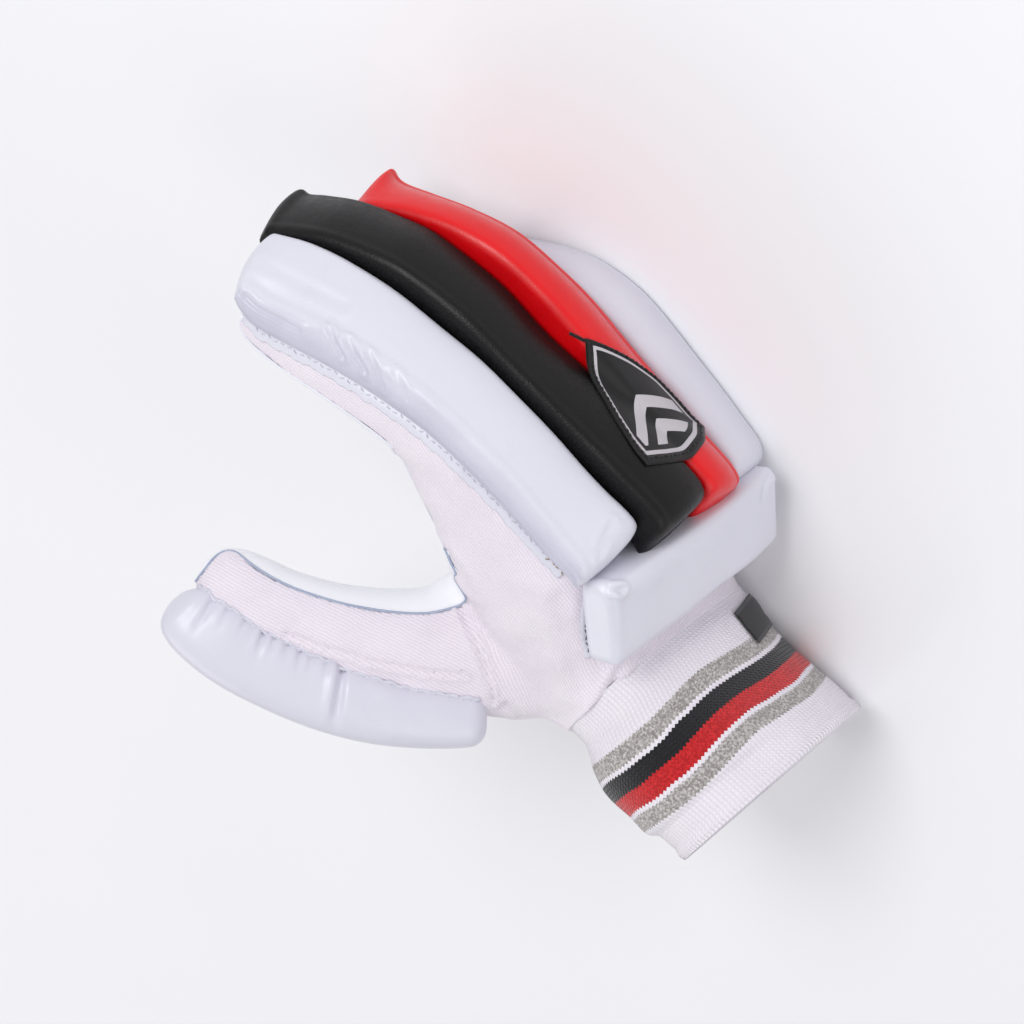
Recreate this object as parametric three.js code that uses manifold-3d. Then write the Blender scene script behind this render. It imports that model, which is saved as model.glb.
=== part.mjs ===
// A right-hand cricket batting glove, empty, lying on its little-finger side.
// The knitted body and cuff are hollow, padded rolls cover the back of the fingers and the hand.
// Millimetres. +X points to the fingertips, +Y to the palm side and +Z to the thumb side, up.
// The floor is z = 0, and the origin lies on the floor under the knuckles.

import * as THREE from "three";
import * as BufferGeometryUtils from "three/addons/utils/BufferGeometryUtils.js";
import Module from "manifold-3d";

const wasm = await Module();
wasm.setup();

// Driving sizes

const LENGTH = 270; // from the cuff's end to the longest fingertip
const DEPTH = 136; // from the heel of the palm to the highest roll
const ROLL_WIDTH = 26.8;
const ROLL_SPACE = 0.5; // between neighbouring rolls
const ROLL_ROUND = 5; // rounding of a roll's long edges
const ROLL_REACH = { index: 77.9, middle: 84.4, ring: 66.9, little: 22.9 }; // beyond the web
const FINGER_WIDTH = 26;
const FINGER_THICKNESS = 28;
const THUMB_WIDTH = 44; // at the thumb's root
const THUMB_THICKNESS = 54;
const THUMB_PAD_WIDTH = 33;
const THUMB_PAD_THICKNESS = 27;
const WRIST_PAD_LENGTH = 33; // along the arm
const WRIST_PAD_THICKNESS = 20;
const CUFF_LENGTH = 60.5;
const BADGE_LENGTH = 54;
const BADGE_WIDTH = 38;
const LABEL_LENGTH = 14; // along the arm
const LABEL_WIDTH = 22;

const KNIT_WALL = 2.4; // knitted cotton with its lining
const CUFF_WALL = 2.6; // the cuff's folded knit
const BADGE_THICKNESS = 1.5;
const LABEL_THICKNESS = 0.9;
const GAP = 0.3; // clearance between neighbouring pieces

// Places that follow from them

const WIDTH = 4 * ROLL_WIDTH + 3 * ROLL_SPACE; // across the four rolls
const MIDDLE_HEIGHT = 0.515 * WIDTH; // the plane between middle and ring finger, above the floor
const WRIST_END = -0.289 * LENGTH; // where the body stops and the cuff starts
const CUFF_END = WRIST_END - CUFF_LENGTH;
const WEB = 0.156 * LENGTH; // where the hand ends between the fingers
const KNUCKLES = 0.044 * LENGTH; // where the finger stalls start inside the hand
const STALL_RISE = 0.07 * FINGER_THICKNESS; // how far a stall stands into the hollow under its roll
const STALL_SHORT = 0.4 * FINGER_THICKNESS; // how far its tip stays behind the roll's tip
const STALL_FULL = 0.85; // share of a stall's length where its tip starts to round off
const BADGE_MIDDLE = { x: -0.043 * LENGTH, radial: -0.028 * WIDTH };
const LABEL_MIDDLE = { x: WRIST_END - 0.26 * CUFF_LENGTH, back: -0.37 * DEPTH, radial: -0.322 * WIDTH };
const BEYOND = 2 * LENGTH; // past every surface
const PAST = KNIT_WALL + GAP; // how far a cut runs on past an open end

// How square a section is: 2 is an oval, and more is squarer
const PALM_SQUARE = 2.15;
const STALL_SQUARE = 2.3;
const THUMB_SQUARE = 2.2;
const THUMB_PAD_SQUARE = 3.2;
const WRIST_PAD_SQUARE = 5;

const HAND_SIDES = 26;
const THUMB_SIDES = 18;
const STALL_SIDES = 14;
const WELD = 2e-3; // vertices closer than this are one

// A point of the glove, from its distance along the hand, towards the back and towards the thumb
function place(x, back, radial) {
  return new THREE.Vector3(x, -back, MIDDLE_HEIGHT + radial);
}

// A table has one row for each section. A column's lengths are shares of the size that it names.
function table(columns, rows) {
  const names = Object.keys(columns);
  return rows.map((row) => Object.fromEntries(names.map((name, i) => [name, row[i] * columns[name]])));
}

// The values at a place, by a smooth curve between the rows around it
function readTable(rows, at) {
  const key = Object.keys(rows[0])[0];
  const last = rows.length - 1;
  let i = 0;
  while (i < last - 1 && at > rows[i + 1][key]) i += 1;
  const before = rows[Math.max(i - 1, 0)];
  const from = rows[i];
  const to = rows[i + 1];
  const after = rows[Math.min(i + 2, last)];
  const span = to[key] - from[key];
  const t = THREE.MathUtils.clamp((at - from[key]) / span, 0, 1);
  const slope = (a, b, name) => ((b[name] - a[name]) / (b[key] - a[key])) * span;
  const value = (name) => {
    const start = slope(before, to, name);
    const end = slope(from, after, name);
    const rise = to[name] - from[name];
    return from[name] + start * t + (3 * rise - 2 * start - end) * t ** 2 + (start + end - 2 * rise) * t ** 3;
  };
  return Object.fromEntries(Object.keys(from).map((name) => [name, value(name)]));
}

// Hand and wrist: middle, half width, back and palm of each section, how square its back is,
// and how far it slants towards the fingertips on the thumb side
const HAND = table(
  { x: LENGTH, radial: WIDTH, half: WIDTH, back: DEPTH, palm: DEPTH, square: 1, slant: 1 },
  [
    [-0.513, -0.064, 0.455, -0.11, -0.57, 2.1, 0.14],
    [-0.444, -0.064, 0.451, -0.114, -0.574, 2.1, 0.14],
    [-0.385, -0.064, 0.451, -0.114, -0.577, 2.1, 0.14],
    [-0.348, -0.064, 0.442, -0.107, -0.544, 2.1, 0.14],
    [-0.315, -0.06, 0.428, -0.092, -0.493, 2.2, 0.14],
    [-0.281, -0.055, 0.428, -0.085, -0.5, 2.4, 0.14],
    [-0.244, -0.041, 0.442, -0.044, -0.518, 3, 0.14],
    [-0.215, -0.037, 0.451, 0.037, -0.507, 3.6, 0.14],
    [-0.185, -0.032, 0.46, 0.125, -0.485, 4, 0.14],
    [-0.148, -0.023, 0.478, 0.176, -0.441, 4, 0.12],
    [-0.074, -0.024, 0.496, 0.21, -0.338, 4, 0.06],
    [0, -0.026, 0.5, 0.228, -0.25, 4, 0],
    [0.052, -0.026, 0.5, 0.235, -0.169, 4, 0],
    [0.096, -0.022, 0.491, 0.228, -0.103, 3.6, 0],
    [0.133, -0.018, 0.469, 0.206, -0.044, 3, 0],
    [0.156, -0.018, 0.442, 0.162, 0.022, 2.4, 0],
    [0.163, -0.018, 0.432, 0.147, 0.037, 2.4, 0],
  ],
);

// Each finger's padded roll, and the order in which they are seated. By share of its length, a table
// gives the height of its top along the side nearer the thumb and along the far side, its lower
// edge, and how far the near side stays behind the far side.
const ROLLS = [
  {
    name: "index",
    order: 2,
    color: 0xdfe1ea,
    start: -0.159 * LENGTH,
    crown: 0.3 * ROLL_ROUND,
    rows: table(
      { share: 1, near: DEPTH, far: DEPTH, base: DEPTH, lag: LENGTH },
      [
        [0, 0.191, 0.257, 0.147, -0.007],
        [0.031, 0.221, 0.283, 0.158, -0.004],
        [0.11, 0.239, 0.29, 0.165, 0],
        [0.264, 0.272, 0.309, 0.188, 0],
        [0.436, 0.283, 0.324, 0.195, 0],
        [0.571, 0.272, 0.318, 0.169, 0],
        [0.693, 0.239, 0.301, 0.129, 0],
        [0.816, 0.18, 0.265, 0.077, 0.004],
        [0.896, 0.143, 0.224, 0.051, 0.011],
        [0.951, 0.132, 0.184, 0.059, 0.02],
        [0.982, 0.125, 0.154, 0.074, 0.026],
        [1, 0.11, 0.125, 0.088, 0.03],
      ],
    ),
  },
  {
    name: "middle",
    order: 0,
    color: 0x26262a,
    start: -0.189 * LENGTH,
    crown: 0.3 * ROLL_ROUND,
    rows: table(
      { share: 1, near: DEPTH, far: DEPTH, base: DEPTH, lag: LENGTH },
      [
        [0, 0.301, 0.316, 0.176, -0.007],
        [0.034, 0.327, 0.342, 0.199, -0.007],
        [0.118, 0.338, 0.353, 0.206, 0],
        [0.259, 0.349, 0.357, 0.213, 0],
        [0.417, 0.359, 0.353, 0.221, 0],
        [0.569, 0.368, 0.368, 0.213, 0],
        [0.715, 0.342, 0.349, 0.176, 0],
        [0.806, 0.294, 0.301, 0.132, 0],
        [0.879, 0.239, 0.25, 0.096, 0],
        [0.941, 0.173, 0.18, 0.074, 0.004],
        [0.975, 0.136, 0.14, 0.074, 0.009],
        [1, 0.114, 0.143, 0.085, 0.015],
      ],
    ),
  },
  {
    name: "ring",
    order: 1,
    color: 0xd41d22,
    start: -0.211 * LENGTH,
    crown: 0.5 * ROLL_ROUND,
    rows: table(
      { share: 1, near: DEPTH, far: DEPTH, base: DEPTH, lag: LENGTH },
      [
        [0, 0.309, 0.25, 0.176, -0.015],
        [0.042, 0.338, 0.272, 0.199, -0.007],
        [0.163, 0.353, 0.29, 0.206, 0],
        [0.313, 0.379, 0.321, 0.221, 0],
        [0.464, 0.412, 0.357, 0.243, 0],
        [0.584, 0.426, 0.368, 0.25, 0],
        [0.693, 0.419, 0.357, 0.228, 0],
        [0.807, 0.375, 0.309, 0.184, 0],
        [0.898, 0.309, 0.25, 0.14, 0],
        [0.952, 0.257, 0.217, 0.11, 0.002],
        [0.976, 0.232, 0.217, 0.103, 0.004],
        [1, 0.199, 0.243, 0.103, 0.007],
      ],
    ),
  },
  {
    name: "little",
    order: 3,
    color: 0xdfe1ea,
    start: -0.211 * LENGTH,
    crown: 0.4 * ROLL_ROUND,
    rows: table(
      { share: 1, near: DEPTH, far: DEPTH, base: DEPTH, lag: LENGTH },
      [
        [0, 0.221, 0.184, 0.125, -0.007],
        [0.049, 0.257, 0.217, 0.132, -0.004],
        [0.139, 0.272, 0.239, 0.147, 0],
        [0.303, 0.301, 0.276, 0.162, 0],
        [0.467, 0.324, 0.305, 0.176, 0],
        [0.607, 0.338, 0.32, 0.184, 0],
        [0.746, 0.324, 0.298, 0.169, 0],
        [0.861, 0.279, 0.246, 0.125, 0],
        [0.943, 0.221, 0.191, 0.081, 0],
        [1, 0.162, 0.14, 0.066, 0],
      ],
    ),
  },
];

// The rolls lie side by side, the little finger's on the floor
ROLLS.forEach((roll, i) => {
  roll.length = WEB + ROLL_REACH[roll.name] - roll.start;
  roll.near = WIDTH - MIDDLE_HEIGHT - i * (ROLL_WIDTH + ROLL_SPACE);
  roll.far = roll.near - ROLL_WIDTH;
});

// Finger stalls: half thickness and half width from the knuckles to the tip, by share of the length
const STALL = table(
  { share: 1, deep: FINGER_THICKNESS, wide: FINGER_WIDTH },
  [
    [0, 0.5, 0.5],
    [0.3, 0.464, 0.485],
    [0.6, 0.429, 0.469],
    [0.85, 0.357, 0.438],
    [0.95, 0.25, 0.346],
    [1, 0.107, 0.192],
  ],
);

// The thumb stall: middle line, and its half sizes across the thumb's back and sideways
const THUMB = table(
  { x: LENGTH, back: DEPTH, radial: WIDTH, deep: THUMB_THICKNESS, wide: THUMB_WIDTH },
  [
    [-0.17, -0.316, 0.175, 0.5, 0.5],
    [-0.119, -0.36, 0.304, 0.481, 0.455],
    [-0.052, -0.419, 0.469, 0.398, 0.386],
    [0.03, -0.456, 0.598, 0.315, 0.341],
    [0.104, -0.478, 0.681, 0.269, 0.318],
    [0.167, -0.489, 0.731, 0.25, 0.307],
    [0.2, -0.5, 0.754, 0.213, 0.273],
    [0.224, -0.507, 0.773, 0.111, 0.159],
  ],
);

// The thumb's pad on its outer side: middle line, half thickness and half width
const THUMB_PAD = table(
  { x: LENGTH, back: DEPTH, radial: WIDTH, deep: THUMB_PAD_THICKNESS, wide: THUMB_PAD_WIDTH },
  [
    [-0.174, -0.449, 0.46, 0.37, 0.364],
    [-0.141, -0.485, 0.524, 0.407, 0.439],
    [-0.089, -0.526, 0.612, 0.444, 0.5],
    [-0.037, -0.551, 0.685, 0.481, 0.5],
    [0.026, -0.57, 0.754, 0.5, 0.5],
    [0.104, -0.581, 0.823, 0.5, 0.485],
    [0.159, -0.577, 0.851, 0.5, 0.47],
    [0.196, -0.57, 0.86, 0.444, 0.409],
    [0.22, -0.566, 0.856, 0.259, 0.273],
  ],
);

// The way from the thumb's middle to its outer side, away from the fingers
const THUMB_OUT = new THREE.Vector3(-0.39, 0.65, 0.65).normalize();

// The wrist pad, a bar across the back of the wrist: sections from its thumb end to its far end
const WRIST_PAD = table(
  { radial: WIDTH, x: LENGTH, back: DEPTH, length: WRIST_PAD_LENGTH, thick: WRIST_PAD_THICKNESS },
  [
    [0.437, -0.2, 0.068, 0.909, 0.5],
    [0.419, -0.201, 0.069, 1, 0.65],
    [0.184, -0.207, 0.081, 1, 1],
    [-0.138, -0.224, 0.099, 0.97, 1.05],
    [-0.405, -0.237, 0.103, 0.939, 0.975],
    [-0.423, -0.238, 0.101, 0.848, 0.8],
  ],
);
const WRIST_PAD_SLOPE = THREE.MathUtils.degToRad(52.5);

// The badge's outline, a shield, as shares of its half length and half width
const BADGE_OUTLINE = table(
  { along: 1, across: 1 },
  [
    [1, 0],
    [0.5, 0.42],
    [0, 0.76],
    [-0.4, 0.96],
    [-0.66, 1],
    [-0.86, 0.5],
    [-1, 0],
    [-0.97, -0.6],
    [-0.85, -1],
    [-0.4, -0.97],
    [0, -0.82],
    [0.5, -0.47],
  ],
);

// The palm leather's edge on the hand: how high it climbs and how far it reaches to the thumb's side
const PALM_EDGE = table(
  { x: LENGTH, back: DEPTH, radial: WIDTH },
  [
    [-0.274, -0.471, 0.166],
    [-0.185, -0.397, 0.166],
    [-0.111, -0.294, 0.184],
    [-0.044, -0.191, 0.313],
    [0, -0.125, 0.368],
    [0.052, -0.059, 0.396],
    [0.104, 0, 0.414],
    [0.163, 0.037, 0.432],
  ],
);
const THUMB_LEATHER_FROM = 1; // the thumb's row where its leather starts
const THUMB_SEAM = 3; // the thumb's row where its stall is sewn on
const THUMB_REACH = 1.7; // past the thumb's surface, as a share of its half thickness
const THUMB_LEATHER_SHARE = 0.62; // the leather covers the thumb from here to its inner side
const FINGER_LEATHER_SHARE = 0.45; // and each finger from here to its palm side

// Outlines and bodies

function signedVolume(positions, indices) {
  let sum = 0;
  const [a, b, c] = [new THREE.Vector3(), new THREE.Vector3(), new THREE.Vector3()];
  for (let i = 0; i < indices.length; i += 3) {
    a.fromArray(positions, indices[i] * 3);
    b.fromArray(positions, indices[i + 1] * 3);
    c.fromArray(positions, indices[i + 2] * 3);
    sum += a.dot(b.cross(c));
  }
  return sum / 6;
}

// A closed body through rings with equally many points, with a fan on each end
function loft(rings) {
  const count = rings[0].length;
  const positions = rings.flat().flatMap((p) => p.toArray());
  const indices = [];
  for (let i = 0; i < rings.length - 1; i += 1) {
    for (let j = 0; j < count; j += 1) {
      const a = i * count + j;
      const b = i * count + ((j + 1) % count);
      indices.push(a, b, b + count, a, b + count, a + count);
    }
  }
  const ends = [
    { ring: rings[0], first: 0, turn: 1 },
    { ring: rings.at(-1), first: (rings.length - 1) * count, turn: 0 },
  ];
  for (const { ring, first, turn } of ends) {
    const hub = positions.length / 3;
    const middle = ring.reduce((sum, p) => sum.add(p), new THREE.Vector3()).divideScalar(count);
    positions.push(...middle.toArray());
    for (let j = 0; j < count; j += 1) {
      indices.push(hub, first + ((j + turn) % count), first + ((j + 1 - turn) % count));
    }
  }
  if (signedVolume(positions, indices) < 0) indices.reverse();
  const geometry = new THREE.BufferGeometry();
  geometry.setAttribute("position", new THREE.Float32BufferAttribute(positions, 3));
  geometry.setIndex(indices);
  return geometry;
}

function solid(geometry) {
  const merged = BufferGeometryUtils.mergeVertices(geometry, WELD);
  const mesh = new wasm.Mesh({
    numProp: 3,
    vertProperties: new Float32Array(merged.attributes.position.array),
    triVerts: new Uint32Array(merged.index.array),
  });
  return new wasm.Manifold(mesh);
}

function join(solids) {
  return solids.reduce((sum, next) => sum.add(next));
}

// A plain block between two corners, kept as a solid
function block(low, high) {
  const box = new THREE.Box3(low, high);
  const geometry = new THREE.BoxGeometry(...box.getSize(new THREE.Vector3()).toArray());
  geometry.deleteAttribute("normal");
  geometry.deleteAttribute("uv");
  geometry.translate(...box.getCenter(new THREE.Vector3()).toArray());
  return solid(geometry);
}

// A rounded outline in the unit square
function oval(sides, square) {
  return Array.from({ length: sides }, (_, i) => {
    const angle = (2 * Math.PI * (i + 0.5)) / sides;
    const [c, s] = [Math.cos(angle), Math.sin(angle)];
    return [Math.sign(c) * Math.abs(c) ** (2 / square), Math.sign(s) * Math.abs(s) ** (2 / square)];
  });
}

function handRing(x, grow) {
  const row = readTable(HAND, x);
  const middle = (row.back + row.palm) / 2;
  const deep = (row.back - row.palm) / 2 + grow;
  const back = oval(HAND_SIDES, row.square);
  return oval(HAND_SIDES, PALM_SQUARE).map((palm, i) => {
    const [a, b] = palm[1] > 0 ? back[i] : palm;
    const across = a * (row.half + grow);
    return place(x + across * row.slant, middle + b * deep, row.radial + across);
  });
}

// The hand from one section to another, grown or shrunk all round
function hand(from, to, grow) {
  const inner = HAND.map((row) => row.x).filter((x) => x > from + KNIT_WALL && x < to - KNIT_WALL);
  return solid(loft([from, ...inner, to].map((x) => handRing(x, grow))));
}

// A roll's values at a distance along the hand
function rollAt(roll, x) {
  return readTable(roll.rows, (x - roll.start) / roll.length);
}

// Frames along a finger stall under its roll, from the knuckles to the tip
const STALL_STATIONS = [0, 0.2, 0.4, 0.6, 0.74, 0.85, 0.94, 1];

function stallFrames(roll) {
  const tip = roll.start + roll.length - STALL_SHORT;
  const step = 0.01 * roll.length;
  return STALL_STATIONS.map((share) => {
    const x = THREE.MathUtils.lerp(KNUCKLES, tip, share);
    const size = readTable(STALL, share);
    const full = readTable(STALL, Math.min(share, STALL_FULL));
    const lean = Math.atan2(rollAt(roll, x + step).base - rollAt(roll, x - step).base, 2 * step);
    return {
      size,
      middle: place(x, rollAt(roll, x).base + STALL_RISE - full.deep, (roll.near + roll.far) / 2),
      out: new THREE.Vector3(-Math.sin(lean), -Math.cos(lean), 0),
      side: new THREE.Vector3(0, 0, 1),
      along: new THREE.Vector3(Math.cos(lean), -Math.sin(lean), 0),
    };
  });
}

// A ring of points around a frame, by half sizes sideways and outwards
function ringAt({ middle, side, out }, wide, deep, outline) {
  return outline.map(([a, b]) =>
    middle
      .clone()
      .addScaledVector(side, a * wide)
      .addScaledVector(out, b * deep),
  );
}

function stall(roll, grow) {
  const frames = stallFrames(roll);
  frames.at(-1).middle.addScaledVector(frames.at(-1).along, grow);
  const outline = oval(STALL_SIDES, STALL_SQUARE);
  const rings = frames.map((f) => ringAt(f, f.size.wide + grow, f.size.deep + grow, outline));
  return solid(loft(rings));
}

// Frames along the thumb: its middle, the way out to its pad, and the way sideways
function thumbFrames(rows) {
  const points = rows.map((row) => place(row.x, row.back, row.radial));
  return rows.map((size, i) => {
    const before = points[Math.max(i - 1, 0)];
    const after = points[Math.min(i + 1, rows.length - 1)];
    const along = new THREE.Vector3().subVectors(after, before).normalize();
    const out = THUMB_OUT.clone().addScaledVector(along, -THUMB_OUT.dot(along)).normalize();
    const side = new THREE.Vector3().crossVectors(along, out).normalize();
    return { size, middle: points[i].clone(), out, side, along };
  });
}

function thumbLoft(rows, sides, square, grow) {
  const outline = oval(sides, square);
  const rings = thumbFrames(rows).map((f) => ringAt(f, f.size.wide + grow, f.size.deep + grow, outline));
  return solid(loft(rings));
}

function body(grow, start) {
  const stalls = ROLLS.map((roll) => stall(roll, grow));
  return join([hand(start, WEB + grow, grow), ...stalls, thumbLoft(THUMB, THUMB_SIDES, THUMB_SQUARE, grow)]);
}

// A roll's section: flat flanks, rounded long edges and a crowned top
function rollRing(roll, share, grow) {
  const row = readTable(roll.rows, share);
  const near = roll.near + grow;
  const far = roll.far - grow;
  const round = Math.min(ROLL_ROUND, 0.45 * (Math.min(row.near, row.far) - row.base));
  const corner = (radial, top, inward) =>
    [0, 0.35, 0.65, 1].map((turn) => {
      const angle = (turn * Math.PI) / 2;
      return [radial + inward * round * (1 - Math.cos(angle)), top + grow - round * (1 - Math.sin(angle))];
    });
  const crown = [1 / 3, 2 / 3].map((way) => {
    const top = THREE.MathUtils.lerp(row.near, row.far, way) + 4 * roll.crown * way * (1 - way);
    return [THREE.MathUtils.lerp(near - round, far + round, way), top + grow];
  });
  const outline = [
    [near, row.base - grow],
    ...corner(near, row.near, -1),
    ...crown,
    ...corner(far, row.far, 1).reverse(),
    [far, row.base - grow],
  ];
  const x = roll.start + share * roll.length;
  return outline.map(([radial, back]) => {
    const way = (radial - far) / (near - far);
    return place(x - row.lag * way ** 2, back, radial);
  });
}

function rollSolid(roll, grow) {
  const rings = roll.rows.map((row) => rollRing(roll, row.share, grow));
  for (const p of rings[0]) p.x -= grow;
  for (const p of rings.at(-1)) p.x += grow;
  return solid(loft(rings));
}

function wristPadSolid() {
  const side = new THREE.Vector3(-Math.cos(WRIST_PAD_SLOPE), Math.sin(WRIST_PAD_SLOPE), 0);
  const out = new THREE.Vector3(-Math.sin(WRIST_PAD_SLOPE), -Math.cos(WRIST_PAD_SLOPE), 0);
  const outline = oval(STALL_SIDES, WRIST_PAD_SQUARE);
  const rings = WRIST_PAD.map((row) => {
    const middle = place(row.x, row.back, row.radial);
    return ringAt({ middle, side, out }, row.length / 2, row.thick / 2, outline);
  });
  return solid(loft(rings));
}

// A long region with a four-sided section at each frame, which ends past a tip
function strip(frames, grow) {
  const [first, last] = [frames[0], frames.at(-1)];
  first.middle.addScaledVector(first.along, -grow);
  last.middle.addScaledVector(last.along, PAST + grow);
  return solid(loft(frames.map((frame) => {
    const { reach, inner, outer } = frame;
    const corners = [[-1, outer - grow], [1, outer - grow], [1, inner + grow], [-1, inner + grow]];
    return ringAt(frame, reach + grow, 1, corners);
  })));
}

// The thumb from one of its rows on, between two shares of its thickness
function thumbRegion(first, inner, outer, grow) {
  const frames = thumbFrames(THUMB).slice(first).map((frame) => ({
    ...frame,
    reach: frame.size.wide + THUMB_WIDTH / 4,
    inner: inner * frame.size.deep,
    outer: outer * frame.size.deep,
  }));
  return strip(frames, grow);
}

// The leather's whole region: the palm, the palm side of each finger and the thumb's inner side
function leatherRegion(grow) {
  const start = PALM_EDGE[0].x - grow;
  const end = PALM_EDGE.at(-1).x + grow;
  const stations = [start, ...PALM_EDGE.slice(1, -1).map((row) => row.x), end];
  const edge = (name) => PALM_EDGE.map((row, i) => [stations[i], row[name] + grow]);
  const prism = (name, point) =>
    solid(loft([-BEYOND, BEYOND].map((across) =>
      [...edge(name), [end, -BEYOND], [start, -BEYOND]].map(([x, value]) => point(x, value, across)),
    )));
  const under = prism("back", (x, back, radial) => place(x, back, radial));
  const within = prism("radial", (x, radial, back) => place(x, back, radial));
  const fingers = ROLLS.map((roll) => {
    const frames = stallFrames(roll).map((frame) => ({
      ...frame,
      reach: FINGER_WIDTH / 2 + GAP,
      inner: -FINGER_LEATHER_SHARE * frame.size.deep,
      outer: -frame.size.deep - FINGER_THICKNESS / 2,
    }));
    return strip(frames, grow);
  });
  const thumbs = thumbRegion(THUMB_LEATHER_FROM, -THUMB_LEATHER_SHARE, -THUMB_REACH, grow);
  return join([under.intersect(within), ...fingers, thumbs]);
}

// The back half of the hand, above the middle of each section
function backRegion(grow) {
  const edge = HAND.map((row) => [row.x, (row.back + row.palm) / 2 - grow]);
  const start = [-BEYOND, edge[0][1]];
  const end = [BEYOND, edge.at(-1)[1]];
  const outline = [start, ...edge, end, [BEYOND, BEYOND], [-BEYOND, BEYOND]];
  return solid(loft([-BEYOND, BEYOND].map((radial) => outline.map(([x, back]) => place(x, back, radial)))));
}

// Pieces

const glove = new THREE.Group();

function geometryOf(shape) {
  const mesh = shape.getMesh();
  const geometry = new THREE.BufferGeometry();
  geometry.setAttribute("position", new THREE.BufferAttribute(new Float32Array(mesh.vertProperties), 3));
  geometry.setIndex(new THREE.BufferAttribute(new Uint32Array(mesh.triVerts), 1));
  return geometry;
}

// The main body of a piece, welded: thin offcuts that a cut leaves beside it are dropped
function mainBody(shape) {
  let body = shape;
  for (let pass = 0; pass < 3; pass += 1) {
    body = body.decompose().reduce((best, next) => (next.volume() > best.volume() ? next : best));
    body = solid(geometryOf(body));
  }
  return body;
}

function add(name, shape, look) {
  const material = new THREE.MeshStandardMaterial({ ...look, metalness: 0 });
  const piece = new THREE.Mesh(geometryOf(mainBody(shape)), material);
  piece.name = name;
  glove.add(piece);
}

// A block without limits, except on the sides that are given
function space({ x = [-BEYOND, BEYOND], back = [-BEYOND, BEYOND], radial = [-BEYOND, BEYOND] }) {
  const corners = [place(x[0], back[1], radial[0]), place(x[1], back[0], radial[1])];
  return block(...corners);
}

const KNIT = { color: 0xe9dfe9, roughness: 0.95 };
const LEATHER = { color: 0xeceef4, roughness: 0.6 };
const VINYL = { color: 0xdfe1ea, roughness: 0.5 };
const floor = space({ radial: [-BEYOND, -MIDDLE_HEIGHT] });
const shell = body(0, WRIST_END).subtract(floor).subtract(body(-KNIT_WALL, WRIST_END - PAST));
const leather = shell.intersect(leatherRegion(0));
const knit = shell.subtract(leatherRegion(GAP));

// The hand's knit is a back and two sides, and the leather palm closes it
const thumbClear = thumbRegion(THUMB_SEAM, THUMB_REACH, -THUMB_REACH, GAP);
const handSpace = space({ x: [-BEYOND, WEB] }).subtract(thumbClear);
const handKnit = knit.intersect(handSpace);
add("knit_back", handKnit.intersect(backRegion(0)), KNIT);
const handSides = handKnit.subtract(backRegion(GAP));
add("knit_thumb_side", handSides.intersect(space({ radial: [0, BEYOND] })), KNIT);
add("knit_little_side", handSides.intersect(space({ radial: [-BEYOND, -GAP] })), KNIT);
add("palm_leather", leather.intersect(handSpace), LEATHER);

// Each finger's stall and the thumb's are sewn to the hand, and have a knitted and a leather piece
for (const roll of ROLLS) {
  const zone = space({ x: [WEB + GAP, BEYOND], radial: [roll.far, roll.near] });
  add(`${roll.name}_stall`, knit.intersect(zone), KNIT);
  add(`${roll.name}_leather`, leather.intersect(zone), LEATHER);
}
const thumbSpace = thumbRegion(THUMB_SEAM, THUMB_REACH, -THUMB_REACH, 0);
add("thumb_stall", knit.intersect(thumbSpace), KNIT);
add("thumb_leather", leather.intersect(thumbSpace), LEATHER);

// Each roll fits over the stalls and the hand, and against the rolls beside it
const rollsClear = ROLLS.map((roll) => rollSolid(roll, GAP));
const bodyClear = body(GAP, WRIST_END - PAST).add(floor);
ROLLS.forEach((roll, i) => {
  const earlier = ROLLS.flatMap((other, j) => (other.order < roll.order ? [rollsClear[j]] : []));
  const shape = rollSolid(roll, 0).subtract(join([bodyClear, ...earlier]));
  add(`${roll.name}_roll`, shape, { color: roll.color, roughness: 0.5 });
});

add("thumb_pad", thumbLoft(THUMB_PAD, STALL_SIDES, THUMB_PAD_SQUARE, 0).subtract(bodyClear), VINYL);
add("wrist_pad", wristPadSolid().subtract(join([bodyClear, ...rollsClear])), VINYL);

// The badge lies on the middle and the ring roll
const badgeOn = (grow) => rollSolid(ROLLS[1], grow).add(rollSolid(ROLLS[2], grow));
const badgePrism = solid(loft([0, BEYOND].map((back) =>
  BADGE_OUTLINE.map(({ along, across }) => {
    const x = BADGE_MIDDLE.x + (along * BADGE_LENGTH) / 2;
    return place(x, back, BADGE_MIDDLE.radial + (across * BADGE_WIDTH) / 2);
  }),
)));
const badge = badgePrism.intersect(badgeOn(GAP + BADGE_THICKNESS)).subtract(badgeOn(GAP));
add("badge", badge, { color: 0x1c1c20, roughness: 0.4 });

const cuffInner = hand(CUFF_END - PAST, WRIST_END + PAST, -CUFF_WALL);
const cuff = hand(CUFF_END, WRIST_END - GAP, 0).subtract(cuffInner.add(floor));
add("cuff", cuff, { color: 0xe8e4ec, roughness: 0.95 });

const labelZone = space({
  x: [LABEL_MIDDLE.x - LABEL_LENGTH / 2, LABEL_MIDDLE.x + LABEL_LENGTH / 2],
  back: [LABEL_MIDDLE.back, BEYOND],
  radial: [LABEL_MIDDLE.radial - LABEL_WIDTH / 2, LABEL_MIDDLE.radial + LABEL_WIDTH / 2],
});
const cuffGrown = (grow) => hand(CUFF_END, WRIST_END, grow);
const label = labelZone.intersect(cuffGrown(GAP + LABEL_THICKNESS)).subtract(cuffGrown(GAP));
add("cuff_label", label, { color: 0x2a2a2c, roughness: 0.9 });

export default glove;
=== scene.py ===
import math
from contextlib import contextmanager
from functools import partialmethod

import bmesh
import bpy
import numpy as np
from mathutils import Matrix, Vector
from mathutils.bvhtree import BVHTree


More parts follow.
